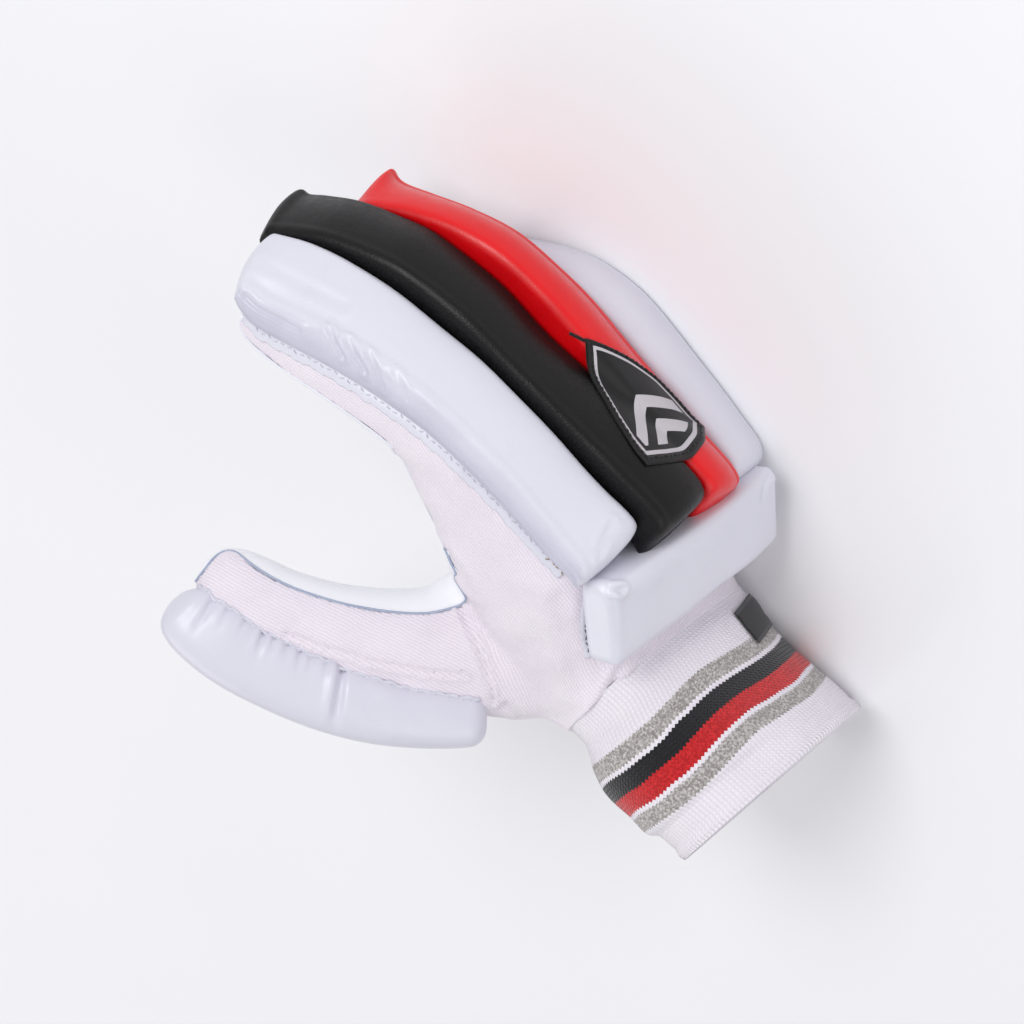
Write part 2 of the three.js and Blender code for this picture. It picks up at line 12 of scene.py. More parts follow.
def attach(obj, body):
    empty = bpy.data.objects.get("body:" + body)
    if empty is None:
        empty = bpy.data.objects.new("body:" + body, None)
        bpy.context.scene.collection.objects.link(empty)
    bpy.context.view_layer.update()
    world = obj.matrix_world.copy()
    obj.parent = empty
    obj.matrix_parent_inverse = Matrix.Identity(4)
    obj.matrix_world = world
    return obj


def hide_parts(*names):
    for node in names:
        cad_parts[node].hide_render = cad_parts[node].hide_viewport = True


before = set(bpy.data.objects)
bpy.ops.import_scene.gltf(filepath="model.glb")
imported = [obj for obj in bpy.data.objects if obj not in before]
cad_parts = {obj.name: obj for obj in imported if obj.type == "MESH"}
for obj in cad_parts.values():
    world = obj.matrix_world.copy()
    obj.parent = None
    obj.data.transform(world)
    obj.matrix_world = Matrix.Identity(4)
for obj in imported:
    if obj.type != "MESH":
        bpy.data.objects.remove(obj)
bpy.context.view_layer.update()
MM = 0.001
PIXEL = 0.35  # millimetres at TARGET for each pixel of the picture
PICTURE_MIDDLE = (540, 461)  # the pixel that shows TARGET
DISTANCE = 950  # from TARGET to the camera
LIFT = 0.1  # the lowest points above the floor
SINK = 0.8  # how deep a pad may lie in the skin that it is sewn on
ABOVE = -200  # y of a place well off the glove's back, where rays down onto it start

# Sizes, in millimetres, as the frame has them
LENGTH = 270.0
DEPTH = 136.0
ROLL_WIDTH = 26.8
ROLL_SPACE = 0.5
WIDTH = 4 * ROLL_WIDTH + 3 * ROLL_SPACE
MIDDLE_HEIGHT = 0.515 * WIDTH
CUFF_LENGTH = 60.5
WRIST_END = -0.289 * LENGTH
CUFF_END = WRIST_END - CUFF_LENGTH
WEB = 0.156 * LENGTH
KNUCKLES = 0.044 * LENGTH
FINGER_WIDTH = 26.0
FINGER_THICKNESS = 28.0
THUMB_WIDTH = 44.0
THUMB_THICKNESS = 54.0
THUMB_PAD_WIDTH = 33.0
THUMB_PAD_THICKNESS = 27.0
WRIST_PAD_LENGTH = 33.0
WRIST_PAD_THICKNESS = 20.0
STALL_RISE = 0.07 * FINGER_THICKNESS
STALL_SHORT = 0.4 * FINGER_THICKNESS
STALL_FULL = 0.85


def table(columns, rows):
    """One row for each section; a column's lengths are shares of the size that it names."""
    names = list(columns)
    scale = np.array([columns[n] for n in names])
    return names, np.array(rows, float) * scale


def read(tab, at):
    """The row at a place, by a smooth curve between the rows around it, as a dict."""
    names, rows = tab
    keys = rows[:, 0]
    last = len(rows) - 1
    i = int(np.clip(np.searchsorted(keys, at, side="left") - 1, 0, last - 1))
    before, a, b, after = rows[max(i - 1, 0)], rows[i], rows[i + 1], rows[min(i + 2, last)]
    span = b[0] - a[0]
    t = min(max((at - a[0]) / span, 0.0), 1.0)
    start = (b - before) / (b[0] - before[0]) * span
    end = (after - a) / (after[0] - a[0]) * span
    rise = b - a
    value = a + start * t + (3 * rise - 2 * start - end) * t**2 + (start + end - 2 * rise) * t**3
    return dict(zip(names, value))


HAND = table(
    dict(x=LENGTH, radial=WIDTH, half=WIDTH, back=DEPTH, palm=DEPTH, square=1, slant=1),
    [
        [-0.513, -0.064, 0.455, -0.11, -0.57, 2.1, 0.14],
        [-0.444, -0.064, 0.451, -0.114, -0.574, 2.1, 0.14],
        [-0.385, -0.064, 0.451, -0.114, -0.577, 2.1, 0.14],
        [-0.348, -0.064, 0.442, -0.107, -0.544, 2.1, 0.14],
        [-0.315, -0.06, 0.428, -0.092, -0.493, 2.2, 0.14],
        [-0.281, -0.055, 0.428, -0.085, -0.5, 2.4, 0.14],
        [-0.244, -0.041, 0.442, -0.044, -0.518, 3, 0.14],
        [-0.215, -0.037, 0.451, 0.037, -0.507, 3.6, 0.14],
        [-0.185, -0.032, 0.46, 0.125, -0.485, 4, 0.14],
        [-0.148, -0.023, 0.478, 0.176, -0.441, 4, 0.12],
        [-0.074, -0.024, 0.496, 0.21, -0.338, 4, 0.06],
        [0, -0.026, 0.5, 0.228, -0.25, 4, 0],
        [0.052, -0.026, 0.5, 0.235, -0.169, 4, 0],
        [0.096, -0.022, 0.491, 0.228, -0.103, 3.6, 0],
        [0.133, -0.018, 0.469, 0.206, -0.044, 3, 0],
        [0.156, -0.018, 0.442, 0.162, 0.022, 2.4, 0],
        [0.163, -0.018, 0.432, 0.147, 0.037, 2.4, 0],
    ],
)
ROLL_COLUMNS = dict(share=1, near=DEPTH, far=DEPTH, base=DEPTH, lag=LENGTH)
ROLLS = {
    "index": dict(start=-0.159, reach=77.9, crown=1.5, bulges=(1.12, 0.14), rows=[
        [0, 0.191, 0.257, 0.147, -0.007],
        [0.031, 0.221, 0.283, 0.158, -0.004],
        [0.11, 0.239, 0.29, 0.165, 0],
        [0.264, 0.272, 0.309, 0.188, 0],
        [0.436, 0.283, 0.324, 0.195, 0],
        [0.571, 0.272, 0.318, 0.169, 0],
        [0.693, 0.239, 0.301, 0.129, 0],
        [0.816, 0.18, 0.265, 0.077, 0.004],
        [0.896, 0.143, 0.224, 0.051, 0.011],
        [0.951, 0.132, 0.184, 0.059, 0.02],
        [0.982, 0.125, 0.154, 0.074, 0.026],
        [1, 0.11, 0.125, 0.088, 0.03],
    ]),
    "middle": dict(start=-0.189, reach=84.4, crown=1.5, bulges=(0.14, 0.14), rows=[
        [0, 0.301, 0.316, 0.176, -0.007],
        [0.034, 0.327, 0.342, 0.199, -0.007],
        [0.118, 0.338, 0.353, 0.206, 0],
        [0.259, 0.349, 0.357, 0.213, 0],
        [0.417, 0.359, 0.353, 0.221, 0],
        [0.569, 0.368, 0.368, 0.213, 0],
        [0.715, 0.342, 0.349, 0.176, 0],
        [0.806, 0.294, 0.301, 0.132, 0],
        [0.879, 0.239, 0.25, 0.096, 0],
        [0.941, 0.173, 0.18, 0.074, 0.004],
        [0.975, 0.136, 0.14, 0.074, 0.009],
        [1, 0.114, 0.143, 0.085, 0.015],
    ]),
    "ring": dict(start=-0.211, reach=66.9, crown=2.5, bulges=(0.14, 0.14), rows=[
        [0, 0.309, 0.25, 0.176, -0.015],
        [0.042, 0.338, 0.272, 0.199, -0.007],
        [0.163, 0.353, 0.29, 0.206, 0],
        [0.313, 0.379, 0.321, 0.221, 0],
        [0.464, 0.412, 0.357, 0.243, 0],
        [0.584, 0.426, 0.368, 0.25, 0],
        [0.693, 0.419, 0.357, 0.228, 0],
        [0.807, 0.375, 0.309, 0.184, 0],
        [0.898, 0.309, 0.25, 0.14, 0],
        [0.952, 0.257, 0.217, 0.11, 0.002],
        [0.976, 0.232, 0.217, 0.103, 0.004],
        [1, 0.199, 0.243, 0.103, 0.007],
    ]),
    "little": dict(start=-0.211, reach=22.9, crown=2.0, bulges=(0.14, 0.28), rows=[
        [0, 0.221, 0.184, 0.125, -0.007],
        [0.049, 0.257, 0.217, 0.132, -0.004],
        [0.139, 0.272, 0.239, 0.147, 0],
        [0.303, 0.301, 0.276, 0.162, 0],
        [0.467, 0.324, 0.305, 0.176, 0],
        [0.607, 0.338, 0.32, 0.184, 0],
        [0.746, 0.324, 0.298, 0.169, 0],
        [0.861, 0.279, 0.246, 0.125, 0],
        [0.943, 0.221, 0.191, 0.081, 0],
        [1, 0.162, 0.14, 0.066, 0],
    ]),
}
for i, roll in enumerate(ROLLS.values()):
    roll["start"] *= LENGTH
    roll["length"] = WEB + roll["reach"] - roll["start"]
    roll["near"] = WIDTH - MIDDLE_HEIGHT - i * (ROLL_WIDTH + ROLL_SPACE)
    roll["far"] = roll["near"] - ROLL_WIDTH
    roll["table"] = table(ROLL_COLUMNS, roll["rows"])
STALL = table(
    dict(share=1, deep=FINGER_THICKNESS, wide=FINGER_WIDTH),
    [
        [0, 0.5, 0.5],
        [0.3, 0.464, 0.485],
        [0.6, 0.429, 0.469],
        [0.85, 0.357, 0.438],
        [0.95, 0.25, 0.346],
        [1, 0.107, 0.192],
    ],
)
THUMB = table(
    dict(row=1, x=LENGTH, back=DEPTH, radial=WIDTH, deep=THUMB_THICKNESS, wide=THUMB_WIDTH),
    [
        [0, -0.17, -0.316, 0.175, 0.5, 0.5],
        [1, -0.119, -0.36, 0.304, 0.481, 0.455],
        [2, -0.052, -0.419, 0.469, 0.398, 0.386],
        [3, 0.03, -0.456, 0.598, 0.315, 0.341],
        [4, 0.104, -0.478, 0.681, 0.269, 0.318],
        [5, 0.167, -0.489, 0.731, 0.25, 0.307],
        [6, 0.2, -0.5, 0.754, 0.213, 0.273],
        [7, 0.224, -0.507, 0.773, 0.111, 0.159],
    ],
)
THUMB_PAD = table(
    dict(row=1, x=LENGTH, back=DEPTH, radial=WIDTH, deep=THUMB_PAD_THICKNESS, wide=THUMB_PAD_WIDTH),
    [
        [0, -0.174, -0.449, 0.46, 0.37, 0.364],
        [1, -0.141, -0.485, 0.524, 0.407, 0.439],
        [2, -0.089, -0.526, 0.612, 0.444, 0.5],
        [3, -0.037, -0.551, 0.685, 0.481, 0.5],
        [4, 0.026, -0.57, 0.754, 0.5, 0.5],
        [5, 0.104, -0.581, 0.823, 0.5, 0.485],
        [6, 0.159, -0.577, 0.851, 0.5, 0.47],
        [7, 0.196, -0.57, 0.86, 0.444, 0.409],
        [8, 0.22, -0.566, 0.856, 0.259, 0.273],
    ],
)
WRIST_PAD = table(
    dict(radial=WIDTH, x=LENGTH, back=DEPTH, length=WRIST_PAD_LENGTH, thick=WRIST_PAD_THICKNESS),
    [
        [-0.423, -0.238, 0.101, 0.848, 0.8],
        [-0.405, -0.237, 0.103, 0.939, 0.975],
        [-0.138, -0.224, 0.099, 0.97, 1.05],
        [0.184, -0.207, 0.081, 1, 1],
        [0.419, -0.201, 0.069, 1, 0.65],
        [0.437, -0.2, 0.068, 0.909, 0.5],
    ],
)
WRIST_PAD_SLOPE = math.radians(52.5)
PALM_EDGE = table(
    dict(x=LENGTH, back=DEPTH, radial=WIDTH),
    [
        [-0.274, -0.471, 0.166],
        [-0.185, -0.397, 0.166],
        [-0.111, -0.294, 0.184],
        [-0.044, -0.191, 0.313],
        [0, -0.125, 0.368],
        [0.052, -0.059, 0.396],
        [0.104, 0, 0.414],
        [0.163, 0.037, 0.432],
    ],
)
THUMB_LEATHER_SHARE = 0.62
FINGER_LEATHER_SHARE = 0.45
KNIT_WALL, LEATHER_WALL = 2.2, 1.6
VOXEL = 1.45  # of the skin's remesh
CORNER = (461, 577)  # the pixel in the corner between thumb and hand, which is filled out
CORNER_REACH = 9
CORNER_ROUNDS = 25
CORNER_FILL = 5.5
LABEL_LENGTH, LABEL_WIDTH = 14.0, 22.0
LABEL_MIDDLE = (WRIST_END - 0.26 * CUFF_LENGTH, -0.322 * WIDTH)
BADGE_LENGTH, BADGE_WIDTH = 54.0, 38.0
BADGE_MIDDLE = (-0.043 * LENGTH, -0.028 * WIDTH)


def place(x, back, radial):
    return np.array([x, -back, MIDDLE_HEIGHT + radial])


def places(points):
    """The x, back and radial of points, which place() turns into a point."""
    return points[:, 0], -points[:, 1], points[:, 2] - MIDDLE_HEIGHT


def unit(v):
    v = np.asarray(v, float)
    return v / max(np.linalg.norm(v), 1e-9)


THUMB_OUT = unit([-0.39, 0.65, 0.65])


def run_of(points):
    """How far along a line of points each of them lies."""
    return np.concatenate([[0], np.cumsum(np.linalg.norm(np.diff(points, axis=0), axis=1))])


def spread(points, at, lengths=None):
    """The places at given distances along a line of points, or the values of another line there."""
    lengths = run_of(points) if lengths is None else lengths
    return np.stack([np.interp(at, lengths, points[:, k]) for k in range(points.shape[1])], 1)


# Meshes

@contextmanager
def edited(obj):
    """An object's mesh as a bmesh, written back at the end."""
    bm = bmesh.new()
    bm.from_mesh(obj.data)
    yield bm
    bm.to_mesh(obj.data)
    bm.free()


def new_object(name, verts, faces, uvs=None):
    """A mesh object from millimetres. uvs is one list of (u, v) in millimetres for each face."""
    mesh = bpy.data.meshes.new(name)
    mesh.from_pydata([tuple(v) for v in np.asarray(verts) * MM], [], faces)
    if uvs is not None:
        layer = mesh.uv_layers.new(name="surface")
        flat = np.array([c for f in uvs for c in f], np.float32)
        layer.data.foreach_set("uv", flat.ravel())
    mesh.polygons.foreach_set("use_smooth", [True] * len(mesh.polygons))
    mesh.update()
    obj = bpy.data.objects.new(name, mesh)
    bpy.context.scene.collection.objects.link(obj)
    return obj


def outward(obj):
    with edited(obj) as bm:
        bmesh.ops.recalc_face_normals(bm, faces=bm.faces)
    return obj


def grid_faces(rings, first=0):
    """Quads between closed rings of equally many points, and their (u, v) in millimetres."""
    rings = np.asarray(rings, float)
    rows, count = rings.shape[:2]
    around = np.roll(rings, -1, axis=1) - rings
    steps = np.linalg.norm(around, axis=2).mean(axis=0)
    u = np.concatenate([[0], np.cumsum(steps)])
    v = np.concatenate([[0], np.cumsum(np.linalg.norm(np.diff(rings, axis=0), axis=2).mean(axis=1))])
    faces, uvs = [], []
    for i in range(rows - 1):
        for j in range(count):
            k = (j + 1) % count
            a, b = first + i * count, first + (i + 1) * count
            faces.append((a + j, a + k, b + k, b + j))
            uvs.append([(u[j], v[i]), (u[j + 1], v[i]), (u[j + 1], v[i + 1]), (u[j], v[i + 1])])
    return faces, uvs


def loft(name, rings):
    """A closed body through dense rings, with a flat face on each end."""
    rings = np.asarray(rings, float)
    rows, count = rings.shape[:2]
    faces, uvs = grid_faces(rings)
    for i in (0, rows - 1):
        faces.append(tuple(range(i * count, (i + 1) * count)))
        uvs.append([(p[1], p[2]) for p in rings[i]])
    return outward(new_object(name, rings.reshape(-1, 3), faces, uvs))


def rounded(rings, radius, steps=5):
    """The same rings with both ends rounded off within the length that they have."""
    rings = np.asarray(rings, float)
    means = rings.mean(axis=1)
    at = run_of(means)
    total = at[-1]

    def ring_at(distance):
        i = int(np.clip(np.searchsorted(at, distance) - 1, 0, len(at) - 2))
        t = (distance - at[i]) / max(at[i + 1] - at[i], 1e-9)
        return rings[i] + (rings[i + 1] - rings[i]) * t

    def end(first):
        size = np.linalg.norm(ring_at(0 if first else total) - means[0 if first else -1], axis=1).min()
        reach = min(radius, 0.8 * size)
        made = []
        for k in range(steps + 1):
            angle = k / steps * math.pi / 2
            d = reach * (1 - math.sin(angle))
            ring = ring_at(d if first else total - d)
            middle = ring.mean(axis=0)
            made.append(middle + (ring - middle) * (1 - reach * (1 - math.cos(angle)) / size))
        tip = made[-1]
        for share in (0.6, 0.3, 0.08):
            made.append(tip.mean(axis=0) + (tip - tip.mean(axis=0)) * share)
        return made, reach

    start, low = end(True)
    finish, high = end(False)
    inner = [r for r, d in zip(rings, at) if low + 0.15 < d < total - high - 0.15]
    return start[::-1] + inner + finish


def superellipse(sides, square):
    angles = 2 * np.pi * (np.arange(sides) + 0.5) / sides
    c, s = np.cos(angles), np.sin(angles)
    return np.sign(c) * np.abs(c) ** (2 / square), np.sign(s) * np.abs(s) ** (2 / square)


def tube(points, radius, sides=8, closed=False):
    """Rings of a round thread through points, in millimetres."""
    points = np.asarray(points, float)
    count = len(points)
    rings = []
    normal = None
    for i in range(count):
        before = points[i - 1] if (closed or i) else points[i]
        after = points[(i + 1) % count] if (closed or i < count - 1) else points[i]
        along = unit(after - before)
        if normal is None:
            normal = unit(np.cross(along, [0.3, 0.5, 0.8]))
        normal = unit(normal - along * normal.dot(along))
        side = np.cross(along, normal)
        angles = 2 * np.pi * np.arange(sides) / sides
        r = radius[i] if np.ndim(radius) else radius
        rings.append(points[i] + r * (np.outer(np.cos(angles), normal) + np.outer(np.sin(angles), side)))
    if closed:
        rings.append(rings[0])
    return rings


def join_meshes(name, parts):
    """One object from several lists of rings, each a closed tube."""
    verts, faces, uvs = [], [], []
    for rings in parts:
        rings = np.asarray(rings)
        first = len(verts)
        f, c = grid_faces(rings, first=first)
        verts.extend(rings.reshape(-1, 3))
        faces += f
        uvs += c
        count = rings.shape[1]
        for i in (0, len(rings) - 1):
            faces.append(tuple(range(first + i * count, first + (i + 1) * count)))
            uvs.append([(0, 0)] * count)
    return outward(new_object(name, verts, faces, uvs))


def modified(obj, kind, **settings):
    """The object with one more modifier."""
    modifier = obj.modifiers.new(kind.lower(), kind)
    for key, value in settings.items():
        setattr(modifier, key, value)
    return obj


def applied(obj):
    """The object with its modifiers applied to its mesh."""
    depsgraph = bpy.context.evaluated_depsgraph_get()
    mesh = bpy.data.meshes.new_from_object(obj.evaluated_get(depsgraph))
    obj.modifiers.clear()
    obj.data = mesh
    return obj


def coords(obj):
    flat = np.zeros(len(obj.data.vertices) * 3)
    obj.data.vertices.foreach_get("co", flat)
    return flat.reshape(-1, 3) / MM


def set_coords(obj, points):
    obj.data.vertices.foreach_set("co", (np.asarray(points) * MM).astype(np.float32).ravel())
    obj.data.update()


def normals_of(obj):
    flat = np.zeros(len(obj.data.vertices) * 3)
    obj.data.vertices.foreach_get("normal", flat)
    return flat.reshape(-1, 3)


def smoothstep(low, high, x):
    t = np.clip((np.asarray(x, float) - low) / (high - low), 0, 1)
    return t * t * (3 - 2 * t)


def bump_at(x, centre, width):
    return np.exp(-(((np.asarray(x, float) - centre) / width) ** 2))


def rested(points):
    """The same points, with none below the floor."""
    points[:, 2] = np.maximum(points[:, 2], LIFT)
    return points


# Camera

TARGET = np.array([0.0, 0.0, 56.0])
toward = unit([-0.05, -0.705, 0.705])
turn = math.radians(137)
flat_x = unit(np.array([1.0, 0, 0]) - toward[0] * toward)
flat_y = np.cross(toward, flat_x)
cam_right = math.cos(turn) * flat_x - math.sin(turn) * flat_y
cam_up = math.sin(turn) * flat_x + math.cos(turn) * flat_y
EYE = TARGET + DISTANCE * toward
camera = bpy.data.objects.new("camera", bpy.data.cameras.new("camera"))
bpy.context.scene.collection.objects.link(camera)
matrix = Matrix.Identity(4)
for column, axis in enumerate((cam_right, cam_up, toward, EYE * MM)):
    for line in range(3):
        matrix[line][column] = float(axis[line])
camera.matrix_world = matrix
camera.data.sensor_width = 36
camera.data.lens = 95.42
camera.data.shift_x = -0.0273
camera.data.shift_y = -0.0498
camera.data.clip_start = 0.05
bpy.context.scene.camera = camera


def beside(px, py):
    """How far a pixel lies from TARGET, across the view."""
    return cam_right * (px - PICTURE_MIDDLE[0]) * PIXEL - cam_up * (py - PICTURE_MIDDLE[1]) * PIXEL


def ray_to(px, py):
    return unit(beside(px, py) - DISTANCE * toward)


# Materials

def srgb(*levels):
    shares = (c / 255 / 12.92 if c <= 10 else ((c / 255 + 0.055) / 1.055) ** 2.4 for c in levels)
    return (*shares, 1.0)


class Look:
    """A material with short calls for its nodes. A value is a number, a colour or a socket."""

    def __init__(self, name, **fixed):
        self.mat = bpy.data.materials.new(name)
        self.mat.use_nodes = True
        self.tree = self.mat.node_tree
        self.shader = self.tree.nodes["Principled BSDF"]
        for key, value in fixed.items():
            self.shader.inputs[key.replace("_", " ")].default_value = value

    def put(self, socket, value):
        if isinstance(value, bpy.types.NodeSocket):
            self.tree.links.new(value, socket)
        else:
            socket.default_value = value

    def node(self, kind, inputs=(), **settings):
        made = self.tree.nodes.new("ShaderNode" + kind)
        for key, value in settings.items():
            setattr(made, key, value)
        for key, value in dict(inputs).items():
            self.put(made.inputs[key], value)
        return made

    def math(self, op, *values):
        made = self.node("Math", operation=op)
        for i, value in enumerate(values):
            self.put(made.inputs[i], value)
        return made.outputs[0]

    add = partialmethod(math, "ADD")
    less = partialmethod(math, "SUBTRACT")
    times = partialmethod(math, "MULTIPLY")
    size = partialmethod(math, "ABSOLUTE")
    above = partialmethod(math, "GREATER_THAN")
    below = partialmethod(math, "LESS_THAN")

    def between(self, value, low, high):
        """1 where a value lies between two numbers, else 0."""
        return self.times(self.above(value, low), self.below(value, high))

    def mix(self, share, a, b):
        made = self.node("Mix", data_type="RGBA")
        self.put(made.inputs[0], share)
        self.put(made.inputs[6], a)
        self.put(made.inputs[7], b)
        return made.outputs[2]

    def uv(self):
        made = self.node("UVMap", uv_map="surface")
        split = self.node("SeparateXYZ", {"Vector": made.outputs[0]})
        return split.outputs[0], split.outputs[1]

    def space(self):
        """Object coordinates, in millimetres."""
        coordinate = self.node("TexCoord").outputs["Object"]
        scale = {0: coordinate, 1: (1 / MM,) * 3}
        return self.node("VectorMath", scale, operation="MULTIPLY").outputs[0]

    def attribute(self, name):
        return self.node("Attribute", attribute_name=name).outputs["Fac"]

    def noise(self, size, detail=3.0, vector=None):
        inputs = {"Vector": vector or self.space(), "Scale": 1 / size, "Detail": detail}
        return self.node("TexNoise", inputs).outputs[0]

    def range(self, value, low, high, to_low=0.0, to_high=1.0):
        made = self.node("MapRange", {0: value, 1: low, 2: high, 3: to_low, 4: to_high})
        return made.outputs[0]

    def bump(self, height, distance, strength=1.0, normal=None):
        made = self.node("Bump", {"Height": height, "Distance": distance * MM, "Strength": strength})
        if normal is not None:
            self.put(made.inputs["Normal"], normal)
        return made.outputs[0]

    def finish(self, colour, rough, normal=None):
        self.put(self.shader.inputs["Base Color"], colour)
        self.put(self.shader.inputs["Roughness"], rough)
        if normal is not None:
            self.put(self.shader.inputs["Normal"], normal)
        return self.mat


def knit_height(look, u, v, pitch, step):
    """Ribs of plain knitting: columns of V stitches."""
    across = look.math("FRACT", look.math("DIVIDE", u, pitch))
    off = look.times(look.size(look.less(across, 0.5)), 2.0)
    rib = look.less(1.0, look.math("POWER", off, 2.0))
    phase = look.add(look.math("DIVIDE", v, step), look.times(off, 0.6))
    wave = look.math("SINE", look.times(phase, 2 * math.pi))
    stitch = look.add(0.7, look.times(wave, 0.3))
    return look.times(rib, stitch)


def knit_material(name, light, dark, pitch, step, depth):
    look = Look(name, Sheen_Weight=0.25, Sheen_Roughness=0.6, Specular_IOR_Level=0.2)
    u, v = look.uv()
    wobble = look.times(look.less(look.noise(7, 2), 0.5), 1.3)
    u = look.add(u, wobble)
    height = knit_height(look, u, v, pitch, step)
    patches = look.range(look.noise(22, 4), 0.3, 0.7)
    fibres = look.noise(0.5, 4)
    # Painted shade: the colour is darker in the grooves between the ribs; the random patches added on top
    # are the yarn's own tone.
    painted_shade_and_tint = look.times(look.less(1.0, height), 0.55)
    painted_shade_and_tint = look.add(painted_shade_and_tint, look.times(patches, 0.18))
    painted_shade_and_tint = look.add(painted_shade_and_tint, look.times(look.attribute("painted_shade_and_tint"), 0.6))
    colour = look.mix(look.range(painted_shade_and_tint, 0.0, 1.0), light, dark)
    normal = look.bump(look.add(height, look.times(fibres, 0.5)), depth)
    normal = look.bump(look.noise(9, 3), 0.9, 0.5, normal)
    return look.finish(colour, look.range(fibres, 0.3, 0.7, 0.82, 0.98), normal)


def vinyl_material(name, light, dark, grain=0.022, rough=(0.3, 0.4), coat=0.12, wrinkles=0.3):
    look = Look(name, Coat_Weight=coat, Coat_Roughness=0.3, Specular_IOR_Level=0.45)
    place_mm = look.space()
    pebbles = look.node("TexVoronoi", {"Vector": place_mm, "Scale": 1 / 0.6}).outputs["Distance"]
    pores = look.noise(0.35, 3, place_mm)
    soft = look.noise(14, 3, place_mm)
    stretched = look.node("VectorMath", {0: place_mm, 1: (0.45, 1, 1)}, operation="MULTIPLY").outputs[0]
    folds = look.noise(6, 2, stretched)
    tone = look.add(look.times(soft, 0.4), look.times(pebbles, 0.12))
    # The vertex layer darkens the colour: painted shade on the rolls' flanks, and the piping's own
    # blue-grey tint.
    tone = look.add(tone, look.times(look.attribute("painted_shade_and_tint"), 0.8))
    colour = look.mix(look.range(tone, 0.3, 1.25), light, dark)
    height = look.add(pebbles, look.times(pores, 0.5))
    normal = look.bump(height, grain, 0.8)
    normal = look.bump(folds, wrinkles, 0.5, normal)
    return look.finish(colour, look.range(look.noise(3, 3, place_mm), 0.3, 0.7, *rough), normal)


def thread_material(name, light, dark):
    look = Look(name, Sheen_Weight=0.2, Specular_IOR_Level=0.3)
    twist = look.node("TexWave", {"Vector": look.space(), "Scale": 1.4, "Distortion": 2.0}).outputs[1]
    colour = look.mix(twist, light, dark)
    return look.finish(colour, look.range(twist, 0, 1, 0.55, 0.75), look.bump(twist, 0.08))


# The knit's dark colour is its painted shade in the rib grooves and the tone of its darker patches.
KNIT = knit_material("knit_cotton", srgb(247, 241, 248), srgb(218, 206, 219), 1.15, 1.1, 0.2)
LEATHER = vinyl_material("palm_leather", srgb(246, 246, 251), srgb(208, 210, 222), 0.03, (0.4, 0.5))
# On WHITE, BLACK and RED the dark colour is also the painted shade of the rolls' flanks.
WHITE = vinyl_material("white_vinyl", srgb(219, 219, 230), srgb(174, 174, 194))
PAD = vinyl_material("pad_vinyl", srgb(214, 213, 225), srgb(174, 174, 194), 0.018, (0.3, 0.4), 0.1, 0.4)
BLACK = vinyl_material("black_vinyl", srgb(12, 11, 12), srgb(5, 5, 6), 0.09, (0.34, 0.44), 0.02)
BLACK.node_tree.nodes["Principled BSDF"].inputs["Specular IOR Level"].default_value = 0.28
RED = vinyl_material("red_vinyl", srgb(226, 5, 15), srgb(152, 2, 10), 0.04, (0.3, 0.4), 0.06)
PIPING = vinyl_material("piping", srgb(228, 230, 238), srgb(140, 156, 184), 0.03)
THREAD = thread_material("thread_white", srgb(244, 246, 250), srgb(206, 210, 222))
DARK_THREAD = thread_material("thread_dark", srgb(112, 124, 122), srgb(70, 80, 80))
TAN_THREAD = thread_material("thread_tan", srgb(198, 176, 148), srgb(150, 128, 104))
BLACK_THREAD = thread_material("thread_black", srgb(30, 30, 32), srgb(10, 10, 12))

PIECES = []


def piece(obj, material, slot, *nodes, fill=None):
    """Hands a finished piece over to the frame, in the place of the nodes."""
    obj.data.materials.clear()
    obj.data.materials.append(material)
    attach(obj, "root")
    if nodes:
        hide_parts(*nodes)
    PIECES.append(obj)


def trim(name, tubes, material, slot="white_vinyl"):
    """A piece of thread, piping or flange, which replaces nothing."""
    piece(join_meshes(name, tubes), material, slot)


def set_vertex_values(obj, values=0.0, name="painted_shade_and_tint"):
    """A number at each vertex for its material, under the name given: by default how far to darken it,
    which is painted shade on the rolls' flanks and the piping's own blue-grey tint.
    """
    layer = obj.data.attributes.get(name) or obj.data.attributes.new(name, "FLOAT", "POINT")
    layer.data.foreach_set("value", (np.zeros(len(obj.data.vertices)) + values).astype(np.float32))


# Hand, finger stalls and thumb

def hand_ring(x, sides=120):
    row = read(HAND, x)
    middle = (row["back"] + row["palm"]) / 2
    deep = (row["back"] - row["palm"]) / 2
    pa, pb = superellipse(sides, 2.15)
    ba, bb = superellipse(sides, row["square"])
    a, b = np.where(pb > 0, ba, pa), np.where(pb > 0, bb, pb)
    across = a * row["half"]
    y = -(middle + b * deep)
    return np.stack([x + across * row["slant"], y, MIDDLE_HEIGHT + row["radial"] + across], 1)


def roll_at(roll, x):
    return read(roll["table"], (x - roll["start"]) / roll["length"])


def stall_frames(roll, shares):
    tip = roll["start"] + roll["length"] - STALL_SHORT
    frames = []
    for share in shares:
        x = KNUCKLES + (tip - KNUCKLES) * share
        size = read(STALL, share)
        full = read(STALL, min(share, STALL_FULL))
        step = 0.01 * roll["length"]
        lean = math.atan2(roll_at(roll, x + step)["base"] - roll_at(roll, x - step)["base"], 2 * step)
        back = roll_at(roll, x)["base"] + STALL_RISE - full["deep"]
        frames.append(dict(
            middle=place(x, back, (roll["near"] + roll["far"]) / 2),
            out=np.array([-math.sin(lean), -math.cos(lean), 0]),
            side=np.array([0, 0, 1.0]),
            along=np.array([math.cos(lean), -math.sin(lean), 0]),
            wide=size["wide"], deep=size["deep"],
        ))
    return frames


